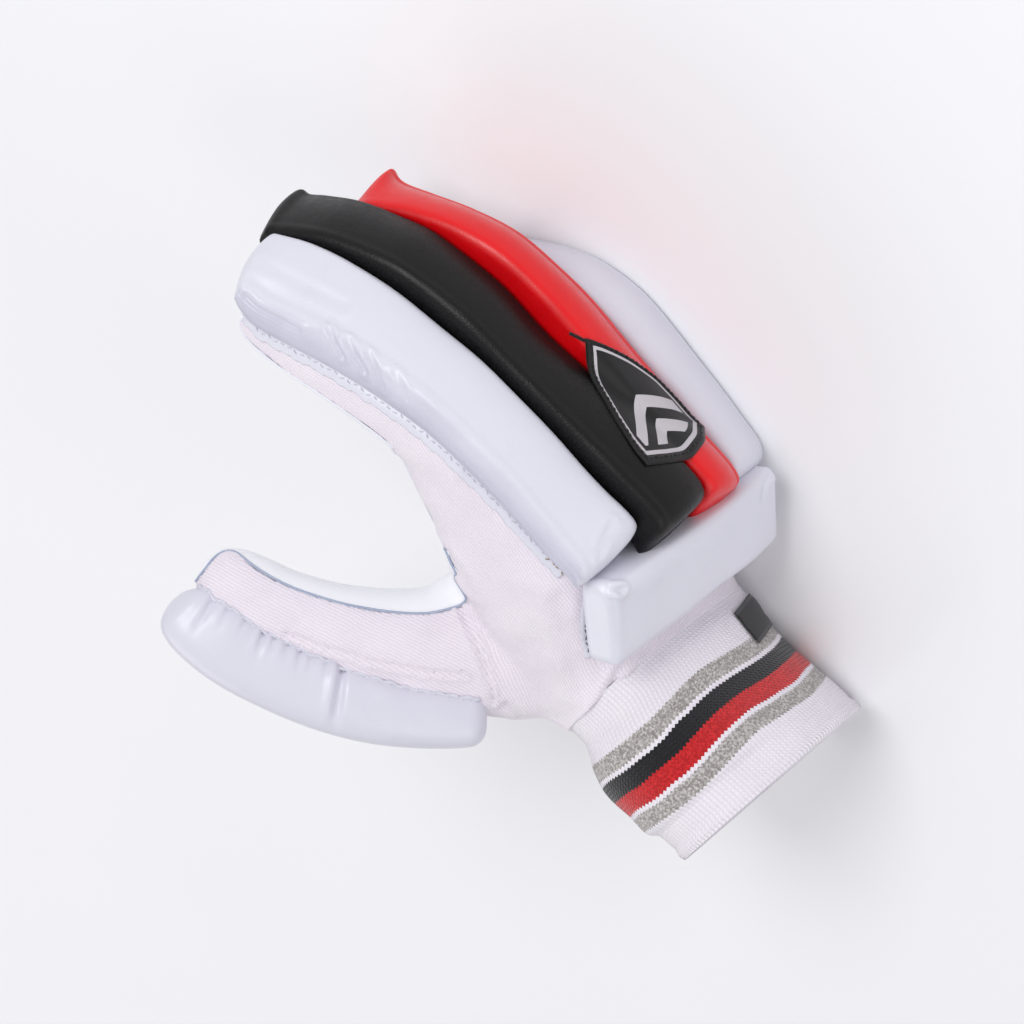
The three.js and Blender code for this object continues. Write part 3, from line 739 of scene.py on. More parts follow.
def thumb_frames(tab, rows):
    sizes = [read(tab, r) for r in rows]
    points = np.array([place(s["x"], s["back"], s["radial"]) for s in sizes])
    frames = []
    for i, s in enumerate(sizes):
        along = unit(points[min(i + 1, len(rows) - 1)] - points[max(i - 1, 0)])
        out = unit(THUMB_OUT - along * THUMB_OUT.dot(along))
        frames.append(dict(middle=points[i], out=out, side=np.cross(along, out), along=along,
                           wide=s["wide"], deep=s["deep"]))
    return frames


def frame_ring(f, outline):
    a, b = outline
    return f["middle"] + np.outer(a * f["wide"], f["side"]) + np.outer(b * f["deep"], f["out"])


STALL_SHARES = np.concatenate([np.linspace(0, STALL_FULL, 24), np.linspace(0.87, 1, 8)])
THUMB_ROWS = np.linspace(0, 7, 71)
FINGER_FRAMES = {name: stall_frames(roll, STALL_SHARES) for name, roll in ROLLS.items()}
THUMB_FRAMES = thumb_frames(THUMB, THUMB_ROWS)
THUMB_LINES = {key: np.array([f[key] for f in THUMB_FRAMES]) for key in THUMB_FRAMES[0]}
THUMB_MIDDLE = THUMB_FRAMES[45]


def body_object():
    """Hand, stalls and thumb as one skin, by a voxel remesh of their lofts, then smoothed."""
    parts = [loft("hand", [hand_ring(x) for x in np.linspace(WRIST_END - 6, WEB, 70)])]
    for frames in FINGER_FRAMES.values():
        rings = [frame_ring(f, superellipse(48, 2.3)) for f in frames]
        parts.append(loft("stall", rounded(rings, 3)))
    rings = [frame_ring(f, superellipse(72, 2.2)) for f in THUMB_FRAMES]
    parts.append(loft("thumb", rounded(rings, 6)))
    with bpy.context.temp_override(active_object=parts[0], selected_editable_objects=parts):
        bpy.ops.object.join()
    skin = parts[0]
    skin.name = "knit_body"
    modified(skin, "REMESH", mode="VOXEL", voxel_size=VOXEL * MM)
    modified(skin, "SMOOTH", factor=0.5, iterations=7)
    return applied(skin)


def off_ray(points, px, py):
    """How far points lie from the camera's ray through a picture point."""
    ray = ray_to(px, py)
    local = points - EYE
    return np.linalg.norm(local - np.outer(local @ ray, ray), axis=1)


def cornered(obj):
    """The skin's points, with the corner between thumb and hand filled and smoothed."""
    points = coords(obj)
    edges = np.zeros(len(obj.data.edges) * 2, np.int32)
    obj.data.edges.foreach_get("vertices", edges)
    first, second = edges[::2], edges[1::2]
    count = np.bincount(edges, minlength=len(points))
    weight = np.exp(-(off_ray(points, *CORNER) / CORNER_REACH) ** 2)[:, None]
    points = points + weight ** 1.6 * (0.454 * cam_up - 0.891 * cam_right) * CORNER_FILL
    for _ in range(CORNER_ROUNDS):
        total = np.stack([np.bincount(first, points[second, k], len(points))
                          + np.bincount(second, points[first, k], len(points)) for k in range(3)], 1)
        points = points + weight * (total / count[:, None] - points)
    return points


skin = body_object()
set_coords(skin, rested(cornered(skin)))


def tree_of(obj):
    bm = bmesh.new()
    bm.from_mesh(obj.data)
    bmesh.ops.scale(bm, vec=(1 / MM,) * 3, verts=bm.verts)
    tree = BVHTree.FromBMesh(bm)
    bm.free()
    return tree


SKIN_TREE = tree_of(skin)


def off_skin(p):
    """The skin's nearest place to a point, its normal, and how far out the point lies."""
    hit, normal, _, _ = SKIN_TREE.find_nearest(Vector(p))
    return hit, normal, (Vector(p) - hit).dot(normal)


def keep_out(points):
    """Moves each point that is deeper than SINK inside the skin out to that depth."""
    out = np.array(points, float)
    for i, p in enumerate(out):
        hit, normal, height = off_skin(p)
        if height < -SINK:
            out[i] = np.array(hit - normal * SINK)
    return out


def from_back(tree, x, radial):
    """Where a ray onto the glove's back first meets a surface."""
    return tree.ray_cast(Vector((x, ABOVE, MIDDLE_HEIGHT + radial)), Vector((0, 1, 0)))[0]


def seen(line, tree, lift=0.0, gap=1.0):
    """The surface under a line of picture points, at even distances, or lifted off it."""
    line = np.array(line, float)
    length = run_of(line)[-1]
    points = []
    for px, py in spread(line, np.linspace(0, length, max(int(length * PIXEL / gap), 2) + 1)):
        hit, normal, _, _ = tree.ray_cast(Vector(EYE), Vector(ray_to(px, py)))
        if hit is not None:
            points.append(np.array(hit + normal * lift))
    return np.array(points)


# The seam between the thumb's panel and the hand's, as a plane along the view
PANEL_AT = TARGET + beside(449, 589)
PANEL_NORMAL = unit(np.cross(toward, cam_right * 45 - cam_up * 112))
if PANEL_NORMAL @ cam_right < 0:
    PANEL_NORMAL = -PANEL_NORMAL


def thumb_place(points):
    """Each point's row along the thumb, how far out and sideways it lies, and the sizes there."""
    middles = THUMB_LINES["middle"]
    nearest = np.argmin(((points[:, None, :] - middles[None]) ** 2).sum(2), axis=1)
    at = {key: line[nearest] for key, line in THUMB_LINES.items()}
    lengths = run_of(middles)
    off = points - at["middle"]
    out, side, along = ((off * at[key]).sum(1) for key in ("out", "side", "along"))
    step = lengths[-1] / (len(THUMB_ROWS) - 1)
    row = THUMB_ROWS[nearest] + along / step * (THUMB_ROWS[1] - THUMB_ROWS[0])
    return row, out, side, at["deep"], at["wide"]


def near_thumb(points, first_row):
    """Which points lie around the thumb, past one of its rows."""
    row, out, side, deep, wide = thumb_place(points)
    return (row > first_row) & (np.hypot(out / deep, side / wide) < 1.5)


def row_table(tab, keys):
    return {n: np.array([read(tab, k)[n] for k in keys]) for n in tab[0]}


CROTCH = seen([(465, 587), (466, 589)], SKIN_TREE)[0]
EDGE_X = np.linspace(PALM_EDGE[1][0, 0], PALM_EDGE[1][-1, 0], 80)
EDGE = row_table(PALM_EDGE, EDGE_X)


def leather_value(points):
    """Above zero where the skin is leather, in millimetres from the seam."""
    x, back, radial = places(points)
    under = np.interp(x, EDGE_X, EDGE["back"]) - back
    within = np.interp(x, EDGE_X, EDGE["radial"]) - radial
    value = np.minimum(np.minimum(under, within), x - EDGE_X[0])
    for name, roll in ROLLS.items():
        frames = FINGER_FRAMES[name]
        xs = np.array([f["middle"][0] for f in frames])
        centre = np.interp(x, xs, [-f["middle"][1] for f in frames])
        deep = np.maximum(np.interp(x, xs, [f["deep"] for f in frames]), 4.5)
        low = centre - FINGER_LEATHER_SHARE * deep - back
        zone = (radial <= roll["near"]) & (radial > roll["far"]) & (x > EDGE_X[-1] - 8)
        value = np.where(zone, np.maximum(value, low), value)
    row, out, side, deep, wide = thumb_place(points)
    share = THUMB_LEATHER_SHARE + 0.3 * bump_at(row, 5.9, 0.75) - 2.0 * smoothstep(6.45, 7.1, row)
    band = -share * deep - out
    zone = (row > 0.9) & (np.abs(side) < wide + THUMB_WIDTH / 4) & (out > -1.7 * deep)
    band = np.minimum(band, (row - 1) * 14)
    value = np.where(zone, np.maximum(value, band), value)
    return value - 14 * np.exp(-((np.linalg.norm(points - CROTCH, axis=1) / 10) ** 2))


def split_at(obj, value):
    """Cuts every edge of a mesh where value(points) changes sign, and keeps value on its vertices."""
    with edited(obj) as bm:
        bm.verts.ensure_lookup_table()
        values = value(np.array([v.co for v in bm.verts]) / MM)
        values[np.abs(values) < 0.08] = 0.0
        layer = bm.verts.layers.float.get("value") or bm.verts.layers.float.new("value")
        for v, number in zip(bm.verts, values):
            v[layer] = number
        for edge in list(bm.edges):
            a, b = edge.verts
            va, vb = a[layer], b[layer]
            if va * vb < 0:
                _, new = bmesh.utils.edge_split(edge, a, va / (va - vb))
                new[layer] = 0.0
        zeros = [v for v in bm.verts if v[layer] == 0.0]
        bmesh.ops.connect_verts(bm, verts=zeros, check_degenerate=False)


def keep_side(obj, positive, name):
    """A copy with the faces on one side of the last split."""
    made = obj.copy()
    made.data = obj.data.copy()
    made.name = name
    bpy.context.scene.collection.objects.link(made)
    with edited(made) as bm:
        layer = bm.verts.layers.float.get("value")
        gone = [f for f in bm.faces if (sum(v[layer] for v in f.verts) > 0) != positive]
        bmesh.ops.delete(bm, geom=gone, context="FACES")
    return made


def wrist_value(points):
    """Above zero on the hand's side of the cuff's seam."""
    row = read(HAND, WRIST_END)
    return points[:, 0] - row["slant"] * (points[:, 2] - MIDDLE_HEIGHT - row["radial"]) - WRIST_END - 0.2


split_at(skin, wrist_value)
body = keep_side(skin, True, "knit_body")
split_at(body, leather_value)
knit = keep_side(body, False, "knit_body")
leather = keep_side(body, True, "palm_leather")
for spent in (skin, body):
    bpy.data.objects.remove(spent)
knit.name = "knit_body"


def surface_uv(obj):
    """Writes (around, along) in millimetres on each corner, by the part that its face belongs to."""
    mesh = obj.data
    at = coords(obj)
    x, back, radial = places(at)
    xs = np.linspace(WRIST_END, WEB, 60)
    hand = row_table(HAND, xs)
    frames = [f for f in FINGER_FRAMES["index"] if f["middle"][0] > WEB]
    line_x = np.concatenate([xs, [f["middle"][0] for f in frames]])
    line = np.concatenate([(hand["back"] + hand["palm"]) / 2, [-f["middle"][1] for f in frames]])
    drop = back - np.interp(x, line_x, line)
    on_thumb = near_thumb(at, 1.2) & ((at - PANEL_AT) @ PANEL_NORMAL < 0)
    layer = mesh.uv_layers.get("surface") or mesh.uv_layers.new(name="surface")
    data = np.zeros((len(mesh.loops), 2), np.float32)
    local = at - THUMB_MIDDLE["middle"]
    t_along, t_out, t_side = (local @ THUMB_MIDDLE[k] for k in ("along", "out", "side"))
    for face in mesh.polygons:
        loops = range(face.loop_start, face.loop_start + face.loop_total)
        verts = [mesh.loops[k].vertex_index for k in loops]
        n = np.array(face.normal)
        if np.median(on_thumb[verts]) > 0.5:
            flat = abs(n @ THUMB_MIDDLE["side"]) > abs(n @ THUMB_MIDDLE["out"])
            u = (t_out if flat else t_side)[verts]
            v = t_along[verts]
        else:
            u = (drop if abs(n[2]) > abs(n[1]) else radial)[verts]
            v = x[verts]
        for k, a, b in zip(loops, u, v):
            data[k] = (a + 400, b + 400)
    layer.data.foreach_set("uv", data.ravel())


def tidy(obj):
    """Drops loose points and vertices on top of each other, and smooths the shading."""
    with edited(obj) as bm:
        bmesh.ops.remove_doubles(bm, verts=bm.verts, dist=0.02 * MM)
        bmesh.ops.delete(bm, geom=[v for v in bm.verts if not v.link_faces], context="VERTS")
    obj.data.polygons.foreach_set("use_smooth", [True] * len(obj.data.polygons))


def chains(obj, lines):
    """Ordered point chains through edges given as pairs of vertex numbers."""
    at = coords(obj)
    links = {}
    for a, b in lines:
        links.setdefault(a, []).append(b)
        links.setdefault(b, []).append(a)
    used, out = set(), []
    starts = sorted(links, key=lambda v: (len(links[v]) != 1, v))
    for start in starts:
        if start in used:
            continue
        chain = [start]
        used.add(start)
        while True:
            step = [n for n in links[chain[-1]] if n not in used]
            if not step:
                break
            chain.append(step[0])
            used.add(step[0])
        if len(chain) > 12:
            closed = chain[0] in links[chain[-1]] and len(chain) > 3
            out.append((at[chain], closed))
    return out


def even(points, gap, closed=False, smooth=3):
    """Points at even distances along a smoothed chain."""
    points = np.array(points)
    for _ in range(smooth):
        before, after = np.roll(points, 1, axis=0), np.roll(points, -1, axis=0)
        moved = 0.5 * points + 0.25 * (before + after)
        if not closed:
            moved[0], moved[-1] = points[0], points[-1]
        points = moved
    if closed:
        points = np.vstack([points, points[:1]])
    length = run_of(points)[-1]
    line = spread(points, np.linspace(0, length, max(int(length / gap), 4) + 1))
    return line[:-1] if closed else line


def laid_on(points, tree, lift):
    """Points moved onto a surface and out by lift, with the surface's normals."""
    out, normals = [], []
    for p in points:
        hit, normal, _, _ = tree.find_nearest(Vector(p))
        out.append(np.array(hit + normal * lift))
        normals.append(np.array(normal))
    return np.array(out), np.array(normals)


def stitches(points, normals, length=2.6, gap=1.3, radius=0.28, zigzag=0.0):
    """Short thread loops along a line of even points, as tubes."""
    lengths = run_of(points)
    tubes, at, turn = [], 0.3, 1
    while at + length < lengths[-1]:
        parts = np.linspace(at, at + length, 5)
        line, ns = spread(points, parts, lengths), spread(normals, parts, lengths)
        along = unit(line[-1] - line[0])
        across = np.cross(along, unit(ns[2]))
        lift = np.array([-0.25, 0.22, 0.32, 0.22, -0.25]) * radius / 0.28
        line = line + ns * lift[:, None]
        if zigzag:
            line = line + np.outer(np.linspace(-1, 1, 5) * turn * zigzag, across)
            turn = -turn
        tubes.append(tube(line, radius * np.array([0.6, 1, 1, 1, 0.6]), 6))
        at += length + gap
    return tubes


# The seam between leather and knit, with its piping

bm = bmesh.new()
bm.from_mesh(leather.data)
seam_edges = [tuple(v.index for v in edge.verts) for edge in bm.edges if edge.is_boundary]
bm.free()
seams = []
for line, closed in chains(leather, seam_edges):
    if line[:, 0].max() < WRIST_END + 14:
        continue
    keep = line[:, 0] > WRIST_END + 3 if not closed else np.ones(len(line), bool)
    seams.append((even(line[keep], 1.6, closed, 12), closed))
for obj in (knit, leather):
    tidy(obj)
    surface_uv(obj)


# Folds in the knit

def fold_line(points, line, width, depth):
    """How much each point is pressed in beside a line of points, with a ridge next to it."""
    line = np.array(line, float)
    best = np.full(len(points), 1e9)
    for a, b in zip(line[:-1], line[1:]):
        ab = b - a
        t = np.clip(((points - a) @ ab) / ab.dot(ab), 0, 1)
        best = np.minimum(best, np.linalg.norm(points - (a + np.outer(t, ab)), axis=1))
    return depth * (0.9 * np.exp(-((best - 2.2 * width) / width) ** 2) - np.exp(-((best / width) ** 2)))


def folds(points, lines, tree):
    """The sum of the folds along lines of picture points on a surface."""
    change = np.zeros(len(points))
    for line, width, depth in lines:
        laid = seen(line, tree)
        if len(laid) > 1:
            change += fold_line(points, laid, width, depth)
    return change


def press(obj, at, amounts):
    """Puts each vertex out from its place along its normal, but never below the floor."""
    set_coords(obj, rested(at + normals_of(obj) * amounts[:, None]))


FOLDS = [
    ([(452, 592), (462, 612), (474, 638), (486, 668), (495, 702)], 0.9, 1.1),
    ([(284, 634), (325, 648), (373, 662), (420, 671), (466, 675)], 0.85, 1.0),
    ([(505, 705), (530, 722), (560, 735), (590, 740)], 1.6, 0.6),
    ([(622, 668), (606, 700), (590, 732), (580, 745)], 1.8, 1.3),
    ([(640, 650), (632, 690), (612, 730)], 2.0, 0.6),
    ([(560, 600), (566, 640), (580, 690)], 2.6, 0.5),
    ([(430, 520), (452, 560), (470, 590)], 2.2, 0.5),
]
knit_points = coords(knit)
x, y, z = knit_points.T
waves = np.sin(x * 0.21 + z * 0.16) * np.sin(x * 0.09 - y * 0.17)
change = folds(knit_points, FOLDS, SKIN_TREE) + 0.35 * waves * (z > 2)
set_coords(knit, knit_points + normals_of(knit) * change[:, None])
for obj, wall in ((knit, KNIT_WALL), (leather, LEATHER_WALL)):
    set_vertex_values(applied(modified(obj, "SOLIDIFY", thickness=wall * MM, offset=-1)))
piece(knit, KNIT, "knit_cotton", "knit_back", "knit_thumb_side", "knit_little_side",
      "index_stall", "middle_stall", "ring_stall", "little_stall", "thumb_stall")
piece(leather, LEATHER, "palm_leather", "palm_leather",
      "index_leather", "middle_leather", "ring_leather", "little_leather", "thumb_leather")
tubes = [tube(laid_on(line, SKIN_TREE, 0.25)[0], 0.42, 8, closed) for line, closed in seams]
piping = join_meshes("leather_piping", tubes)
at = coords(piping)
# The piping's own blue-grey tint around the thumb and along the hand's edge, on the same layer that carries
# the rolls' painted shade.
set_vertex_values(piping, np.maximum(near_thumb(at, 1.1), smoothstep(22, 15, off_ray(at, 436, 541))))
piece(piping, PIPING, "palm_leather")


# Rolls

ROLL_EDGE = 4.2


def roll_ring(roll, share):
    """A dense section of a roll: near flank, rounded edge, crowned top, rounded edge, far flank, base."""
    row = read(roll["table"], share)
    near, far, base = roll["near"], roll["far"], row["base"]
    x = roll["start"] + share * roll["length"]
    rounding = min(ROLL_EDGE, 0.45 * (min(row["near"], row["far"]) - base))

    def side(at, outward, height, bulge):
        """A flank from the base up, and the rounded edge above it."""
        flank = [(at + outward * bulge * math.sin(math.pi * t), base + (height - rounding - base) * t)
                 for t in np.linspace(0, 1, 14, endpoint=False)]
        return flank + [(at - outward * rounding * (1 - math.cos(a)), height - rounding * (1 - math.sin(a)))
                        for a in np.linspace(0, math.pi / 2, 8, endpoint=False)]

    top = [(near - rounding + (far - near + 2 * rounding) * t,
            row["near"] + (row["far"] - row["near"]) * t + roll["crown"] * (1 - (2 * t - 1) ** 2))
           for t in np.linspace(0, 1, 18)]
    bottom = [(far + (near - far) * t, base) for t in np.linspace(0, 1, 12, endpoint=False)]
    near_side = side(near, 1, row["near"], roll["bulges"][0])
    far_side = side(far, -1, row["far"], roll["bulges"][1])
    return np.array([place(x - row["lag"] * ((radial - far) / (near - far)) ** 2, back, radial)
                     for radial, back in near_side + top + far_side[:0:-1] + bottom])


CREASES = [
    ([(329, 328), (334, 340), (344, 358)], 0.8, 0.9),
    ([(348, 340), (354, 352), (366, 372)], 0.9, 0.8),
    ([(368, 352), (376, 368), (384, 388)], 0.8, 0.6),
    ([(246, 296), (256, 306), (300, 330)], 0.9, 0.6),
    ([(395, 372), (402, 386), (408, 400)], 0.9, 0.4),
    ([(262, 262), (300, 282), (345, 305)], 1.6, 0.35),
    ([(600, 555), (604, 540), (612, 524)], 1.1, 0.5),
]
ROLL_OBJECTS = {}
ROLL_LOOK = {"index": (WHITE, "white_vinyl"), "middle": (BLACK, "black_vinyl"),
             "ring": (RED, "red_vinyl"), "little": (WHITE, "white_vinyl")}
shares = np.concatenate([np.linspace(0, 0.03, 5), np.linspace(0.045, 0.955, 150), np.linspace(0.965, 1, 8)])
keys = np.linspace(0, 1, 60)
for name, roll in ROLLS.items():
    rings = [roll_ring(roll, s) for s in shares]
    obj = loft(name + "_roll", rounded(rings, 3, 6))
    at = keep_out(coords(obj))
    set_coords(obj, rested(at))
    x, back, _ = places(at)
    share = np.clip((x - roll["start"]) / roll["length"], 0, 1)
    ends = row_table(roll["table"], keys)
    height = (back - np.interp(share, keys, ends["base"])) / np.maximum(
        np.interp(share, keys, (ends["near"] + ends["far"]) / 2 - ends["base"]), 4)
    # Painted shade: both flanks of each roll are drawn darker, most of all towards the base.
    flank = smoothstep(0.5, 0.9, np.abs(normals_of(obj)[:, 2]))
    set_vertex_values(obj, flank * (0.35 + 0.55 * smoothstep(0.6, 0.15, height)))
    soft = np.sin(x * 0.13 + roll["far"]) * np.sin(x * 0.05 + 2) * 0.25
    change = soft * smoothstep(0.3, 0.8, height)
    if name == "index":
        change += folds(at, CREASES, tree_of(obj))
    press(obj, at, change)
    ROLL_OBJECTS[name] = obj
    piece(obj, *ROLL_LOOK[name], name + "_roll", fill=0.9)


# Thumb pad

GATHERS = [  # how far from the root, how wide in millimetres, how deep, how far down the face
    (0.915, 1.2, 0.09, 0.0), (0.86, 1.2, 0.07, -0.5), (0.80, 1.0, 0.05, -0.6), (0.725, 1.3, 0.10, -0.4),
    (0.69, 1.0, 0.08, -0.6), (0.645, 1.2, 0.07, -0.6), (0.60, 1.1, 0.07, -0.5), (0.565, 1.1, 0.06, -0.6),
    (0.46, 1.7, 0.15, 0.5), (0.515, 1.0, 0.05, -0.6),
]
PAD_OUTLINE = superellipse(96, 3.2)


def pad_rings():
    """The thumb pad's sections, gathered along its sewn edge."""
    frames = thumb_frames(THUMB_PAD, np.linspace(0, 8, 220))
    b = PAD_OUTLINE[1]
    lengths = run_of(np.array([f["middle"] for f in frames]))
    rings = []
    for f, v in zip(frames, lengths):
        ring = frame_ring(f, PAD_OUTLINE)
        pull = np.zeros(len(b))
        for where, width, depth, down in GATHERS:
            off = v - where * lengths[-1] + 2.5 * (b + 0.5)
            reach = smoothstep(down + 0.45, down - 0.45, b)
            pull += 0.8 * depth * bump_at(off, 0, width) * reach
            pull -= 0.35 * depth * bump_at(off, 2.1 * width, width) * reach
        pull += 0.012 * np.sin(v * 0.31 + 2 * b) * smoothstep(0.6, -0.4, b)
        rings.append(ring + (f["middle"] - ring) * np.clip(pull, -0.06, 0.3)[:, None])
    return rings


thumb_pad = loft("thumb_pad", rounded(pad_rings(), 6, 8))
set_coords(thumb_pad, keep_out(coords(thumb_pad)))
set_vertex_values(thumb_pad)
piece(thumb_pad, PAD, "white_vinyl", "thumb_pad", fill=0.85)


# Wrist pad

def wrist_rings():
    side = np.array([-math.cos(WRIST_PAD_SLOPE), math.sin(WRIST_PAD_SLOPE), 0])
    out = np.array([-math.sin(WRIST_PAD_SLOPE), -math.cos(WRIST_PAD_SLOPE), 0])
    a, b = superellipse(96, 6.5)
    rings = []
    for radial in np.linspace(WRIST_PAD[1][0, 0], WRIST_PAD[1][-1, 0], 90):
        row = read(WRIST_PAD, radial)
        middle = place(row["x"], row["back"], radial)
        rings.append(middle + np.outer(a * row["length"] / 2, side) + np.outer(b * row["thick"] / 2, out))
    return rings


wrist_pad = loft("wrist_pad", rounded(wrist_rings(), 1.8, 5))
at = keep_out(coords(wrist_pad))
set_coords(wrist_pad, rested(at))
WRIST_CREASES = [
    ([(600, 584), (610, 589), (622, 590)], 1.0, 0.9),
    ([(604, 592), (612, 600), (616, 612)], 1.0, 0.5),
    ([(770, 474), (764, 484), (762, 498)], 1.2, 0.5),
    ([(625, 610), (660, 590), (700, 562)], 3.0, 0.3),
]
change = 0.25 * np.sin(at[:, 2] * 0.16) * np.sin(at[:, 0] * 0.2 + 1)
press(wrist_pad, at, change + folds(at, WRIST_CREASES, tree_of(wrist_pad)))
set_vertex_values(wrist_pad)
piece(wrist_pad, WHITE, "white_vinyl", "wrist_pad", fill=0.85)


# Where the pads and the index roll are sewn on

def meeting(rings, pick, level=0.5):
    """Where a pad's rings come out of the skin, on the side that pick chooses."""
    out = []
    for ring in rings:
        best = None
        for p in ring[pick]:
            hit, _, height = off_skin(p)
            if height > level and (best is None or height < best[0]):
                best = (height, np.array(hit))
        if best is not None:
            out.append(best[1])
    return np.array(out)


def strip(points, acrosses, normals, half, thick):
    """A flat band with round edges along a line, as rings."""
    angles = np.linspace(0, 2 * math.pi, 12, endpoint=False)
    return [p + np.outer(np.cos(angles) * half, a) + np.outer(np.sin(angles) * thick, n)
            for p, a, n in zip(points, acrosses, normals)]


def directions(points):
    """The direction of a line at each of its points."""
    last = len(points) - 1
    return [unit(points[min(i + 1, last)] - points[max(i - 1, 0)]) for i in range(last + 1)]


a, b = PAD_OUTLINE
camera_side = np.sign(THUMB_FRAMES[40]["side"] @ toward)
pad_line = meeting(pad_rings()[6:-10:2], (a * camera_side > 0.2) & (b < 0.5))
pad_line = even(pad_line, 1.0, smooth=8)
laid, normals = laid_on(pad_line, SKIN_TREE, 0.35)
scallops = laid + np.outer(0.35 * np.sin(np.arange(len(laid)) * 1.15), THUMB_OUT)
trim("thumb_pad_welt", [tube(scallops, 0.75)], PAD)
trim("thumb_pad_stitches", stitches(*laid_on(pad_line, SKIN_TREE, 0.9), 1.5, 0.9, 0.2, 0.7), THREAD)

# The index roll's flange, with a running stitch, and tan thread at its wrist corner
edge_line = [roll_ring(ROLLS["index"], share)[0] + [0, 0.4, 0.2] for share in np.linspace(0.02, 0.985, 120)]
middles, downs, normals = [], [], []
for i, (p, along) in enumerate(zip(edge_line, directions(edge_line))):
    hit, normal, _ = off_skin(p)
    n = np.array(normal)
    down = unit(np.cross(along, n))
    if down[1] < 0:
        down = -down
    wave = 0.25 * math.sin(i * 0.9) + 0.2 * math.sin(i * 2.3)
    middles.append(np.array(hit) + n * 0.5 + down * (1.3 + wave))
    downs.append(down)
    normals.append(n)
trim("index_roll_flange", [strip(middles, downs, normals, 2.3, 0.5)], WHITE)
middles, downs, normals = np.array(middles), np.array(downs), np.array(normals)
stitch_line = middles + normals * 0.55 - downs * 0.3
corner = len(stitch_line) // 12
trim("index_roll_stitches", stitches(stitch_line[corner:], normals[corner:], 1.7, 1.1, 0.2, 0.25), THREAD)
trim("corner_stitches", stitches(stitch_line[:corner], normals[:corner], 1.6, 0.7, 0.24, 0.5), TAN_THREAD)

# The wrist pad's flange at its thumb end
flange = seen([(588, 592), (585, 606), (584, 622), (585, 640), (589, 656)], SKIN_TREE, 0.5, 0.8)
flange, normals = laid_on(even(flange, 0.8, smooth=6), SKIN_TREE, 0.5)
acrosses = [np.cross(along, n) for along, n in zip(directions(flange), normals)]
trim("wrist_pad_flange", [strip(flange, acrosses, normals, 1.6, 0.6)], WHITE)
trim("wrist_pad_stitches", stitches(flange + normals * 0.65, normals, 2.0, 1.0, 0.24, 0.3), DARK_THREAD)


# Badge, laid on the middle and the ring roll

SHIELD = np.array([
    [1, 0], [0.5, 0.42], [0, 0.76], [-0.4, 0.96], [-0.66, 1], [-0.86, 0.5], [-1, 0],
    [-0.97, -0.6], [-0.85, -1], [-0.4, -0.97], [0, -0.82], [0.5, -0.47],
])
trees = [tree_of(ROLL_OBJECTS[n]) for n in ("middle", "ring")]


def roll_top(x, radial):
    """The higher roll's surface around a place. The patch bridges the narrow space between them."""
    best = -1e9
    for near in (0.0, -1.2, 1.2):
        for tree in trees:
            hit = from_back(tree, x, radial + near)
            if hit is not None and hit[1] < -0.2 * DEPTH:
                best = max(best, -hit[1])
    return best


def outline_points(shares, count):
    """A smooth closed outline through shares of the badge's half sizes, with three corners kept."""
    per = count // len(shares)
    out = np.array([a + (b - a) * t for a, b in zip(shares, np.roll(shares, -1, 0))
                    for t in np.linspace(0, 1, per, endpoint=False)])
    corners = [0, 4 * per, 8 * per]
    for _ in range(per // 2):
        moved = 0.5 * out + 0.25 * (np.roll(out, 1, 0) + np.roll(out, -1, 0))
        moved[corners] = out[corners]
        out = moved
    return out


def badge_object():
    """The patch, with its distance from the middle as level, and the line of its rim's stitches."""
    outline = outline_points(SHIELD, 144)
    sides = len(outline)
    shares = np.linspace(0, 1, 26)[1:]
    flat = np.vstack([[[0.0, 0.0]]] + [outline * s for s in shares]) * (BADGE_LENGTH / 2, BADGE_WIDTH / 2)
    x, radial = (flat + BADGE_MIDDLE).T
    height = np.array([roll_top(a, b) for a, b in zip(x, radial)])
    faces = [(0, 1 + j, 1 + (j + 1) % sides) for j in range(sides)]
    for i in range(len(shares) - 1):
        for j in range(sides):
            a, b = 1 + i * sides, 1 + (i + 1) * sides
            k = (j + 1) % sides
            faces.append((a + j, b + j, b + k, a + k))
    neighbours = [set() for _ in flat]
    for f in faces:
        for a, b in zip(f, f[1:] + f[:1]):
            neighbours[a].add(b)
            neighbours[b].add(a)
    for _ in range(30):
        height = np.array([max(0.4 * h + 0.6 * np.mean([height[n] for n in near]), h - 0.02)
                           for h, near in zip(height, neighbours)])
    level = np.concatenate([[0], np.repeat(shares, sides)])
    rim = 0.45 * bump_at(level, 0.94, 0.03) + 0.15 * smoothstep(0.84, 0.9, level)
    thick = 0.85 + rim - 0.65 * smoothstep(0.985, 1.0, level)
    verts = np.stack([x, -(height + thick), MIDDLE_HEIGHT + radial], 1)
    under = verts.copy()
    under[:, 1] = -(height + 0.1)
    first = len(verts)
    last = 1 + (len(shares) - 1) * sides
    below = [tuple(v + first for v in f[::-1]) for f in faces]
    for j in range(sides):
        k = (j + 1) % sides
        faces.append((last + j, first + last + j, first + last + k, last + k))
    faces += below
    uvs = [[tuple(flat[v % first]) for v in f] for f in faces]
    obj = outward(new_object("badge", np.vstack([verts, under]), faces, uvs))
    set_vertex_values(obj, np.concatenate([level, level]), "level")
    return obj, verts[last - 2 * sides:last - sides]


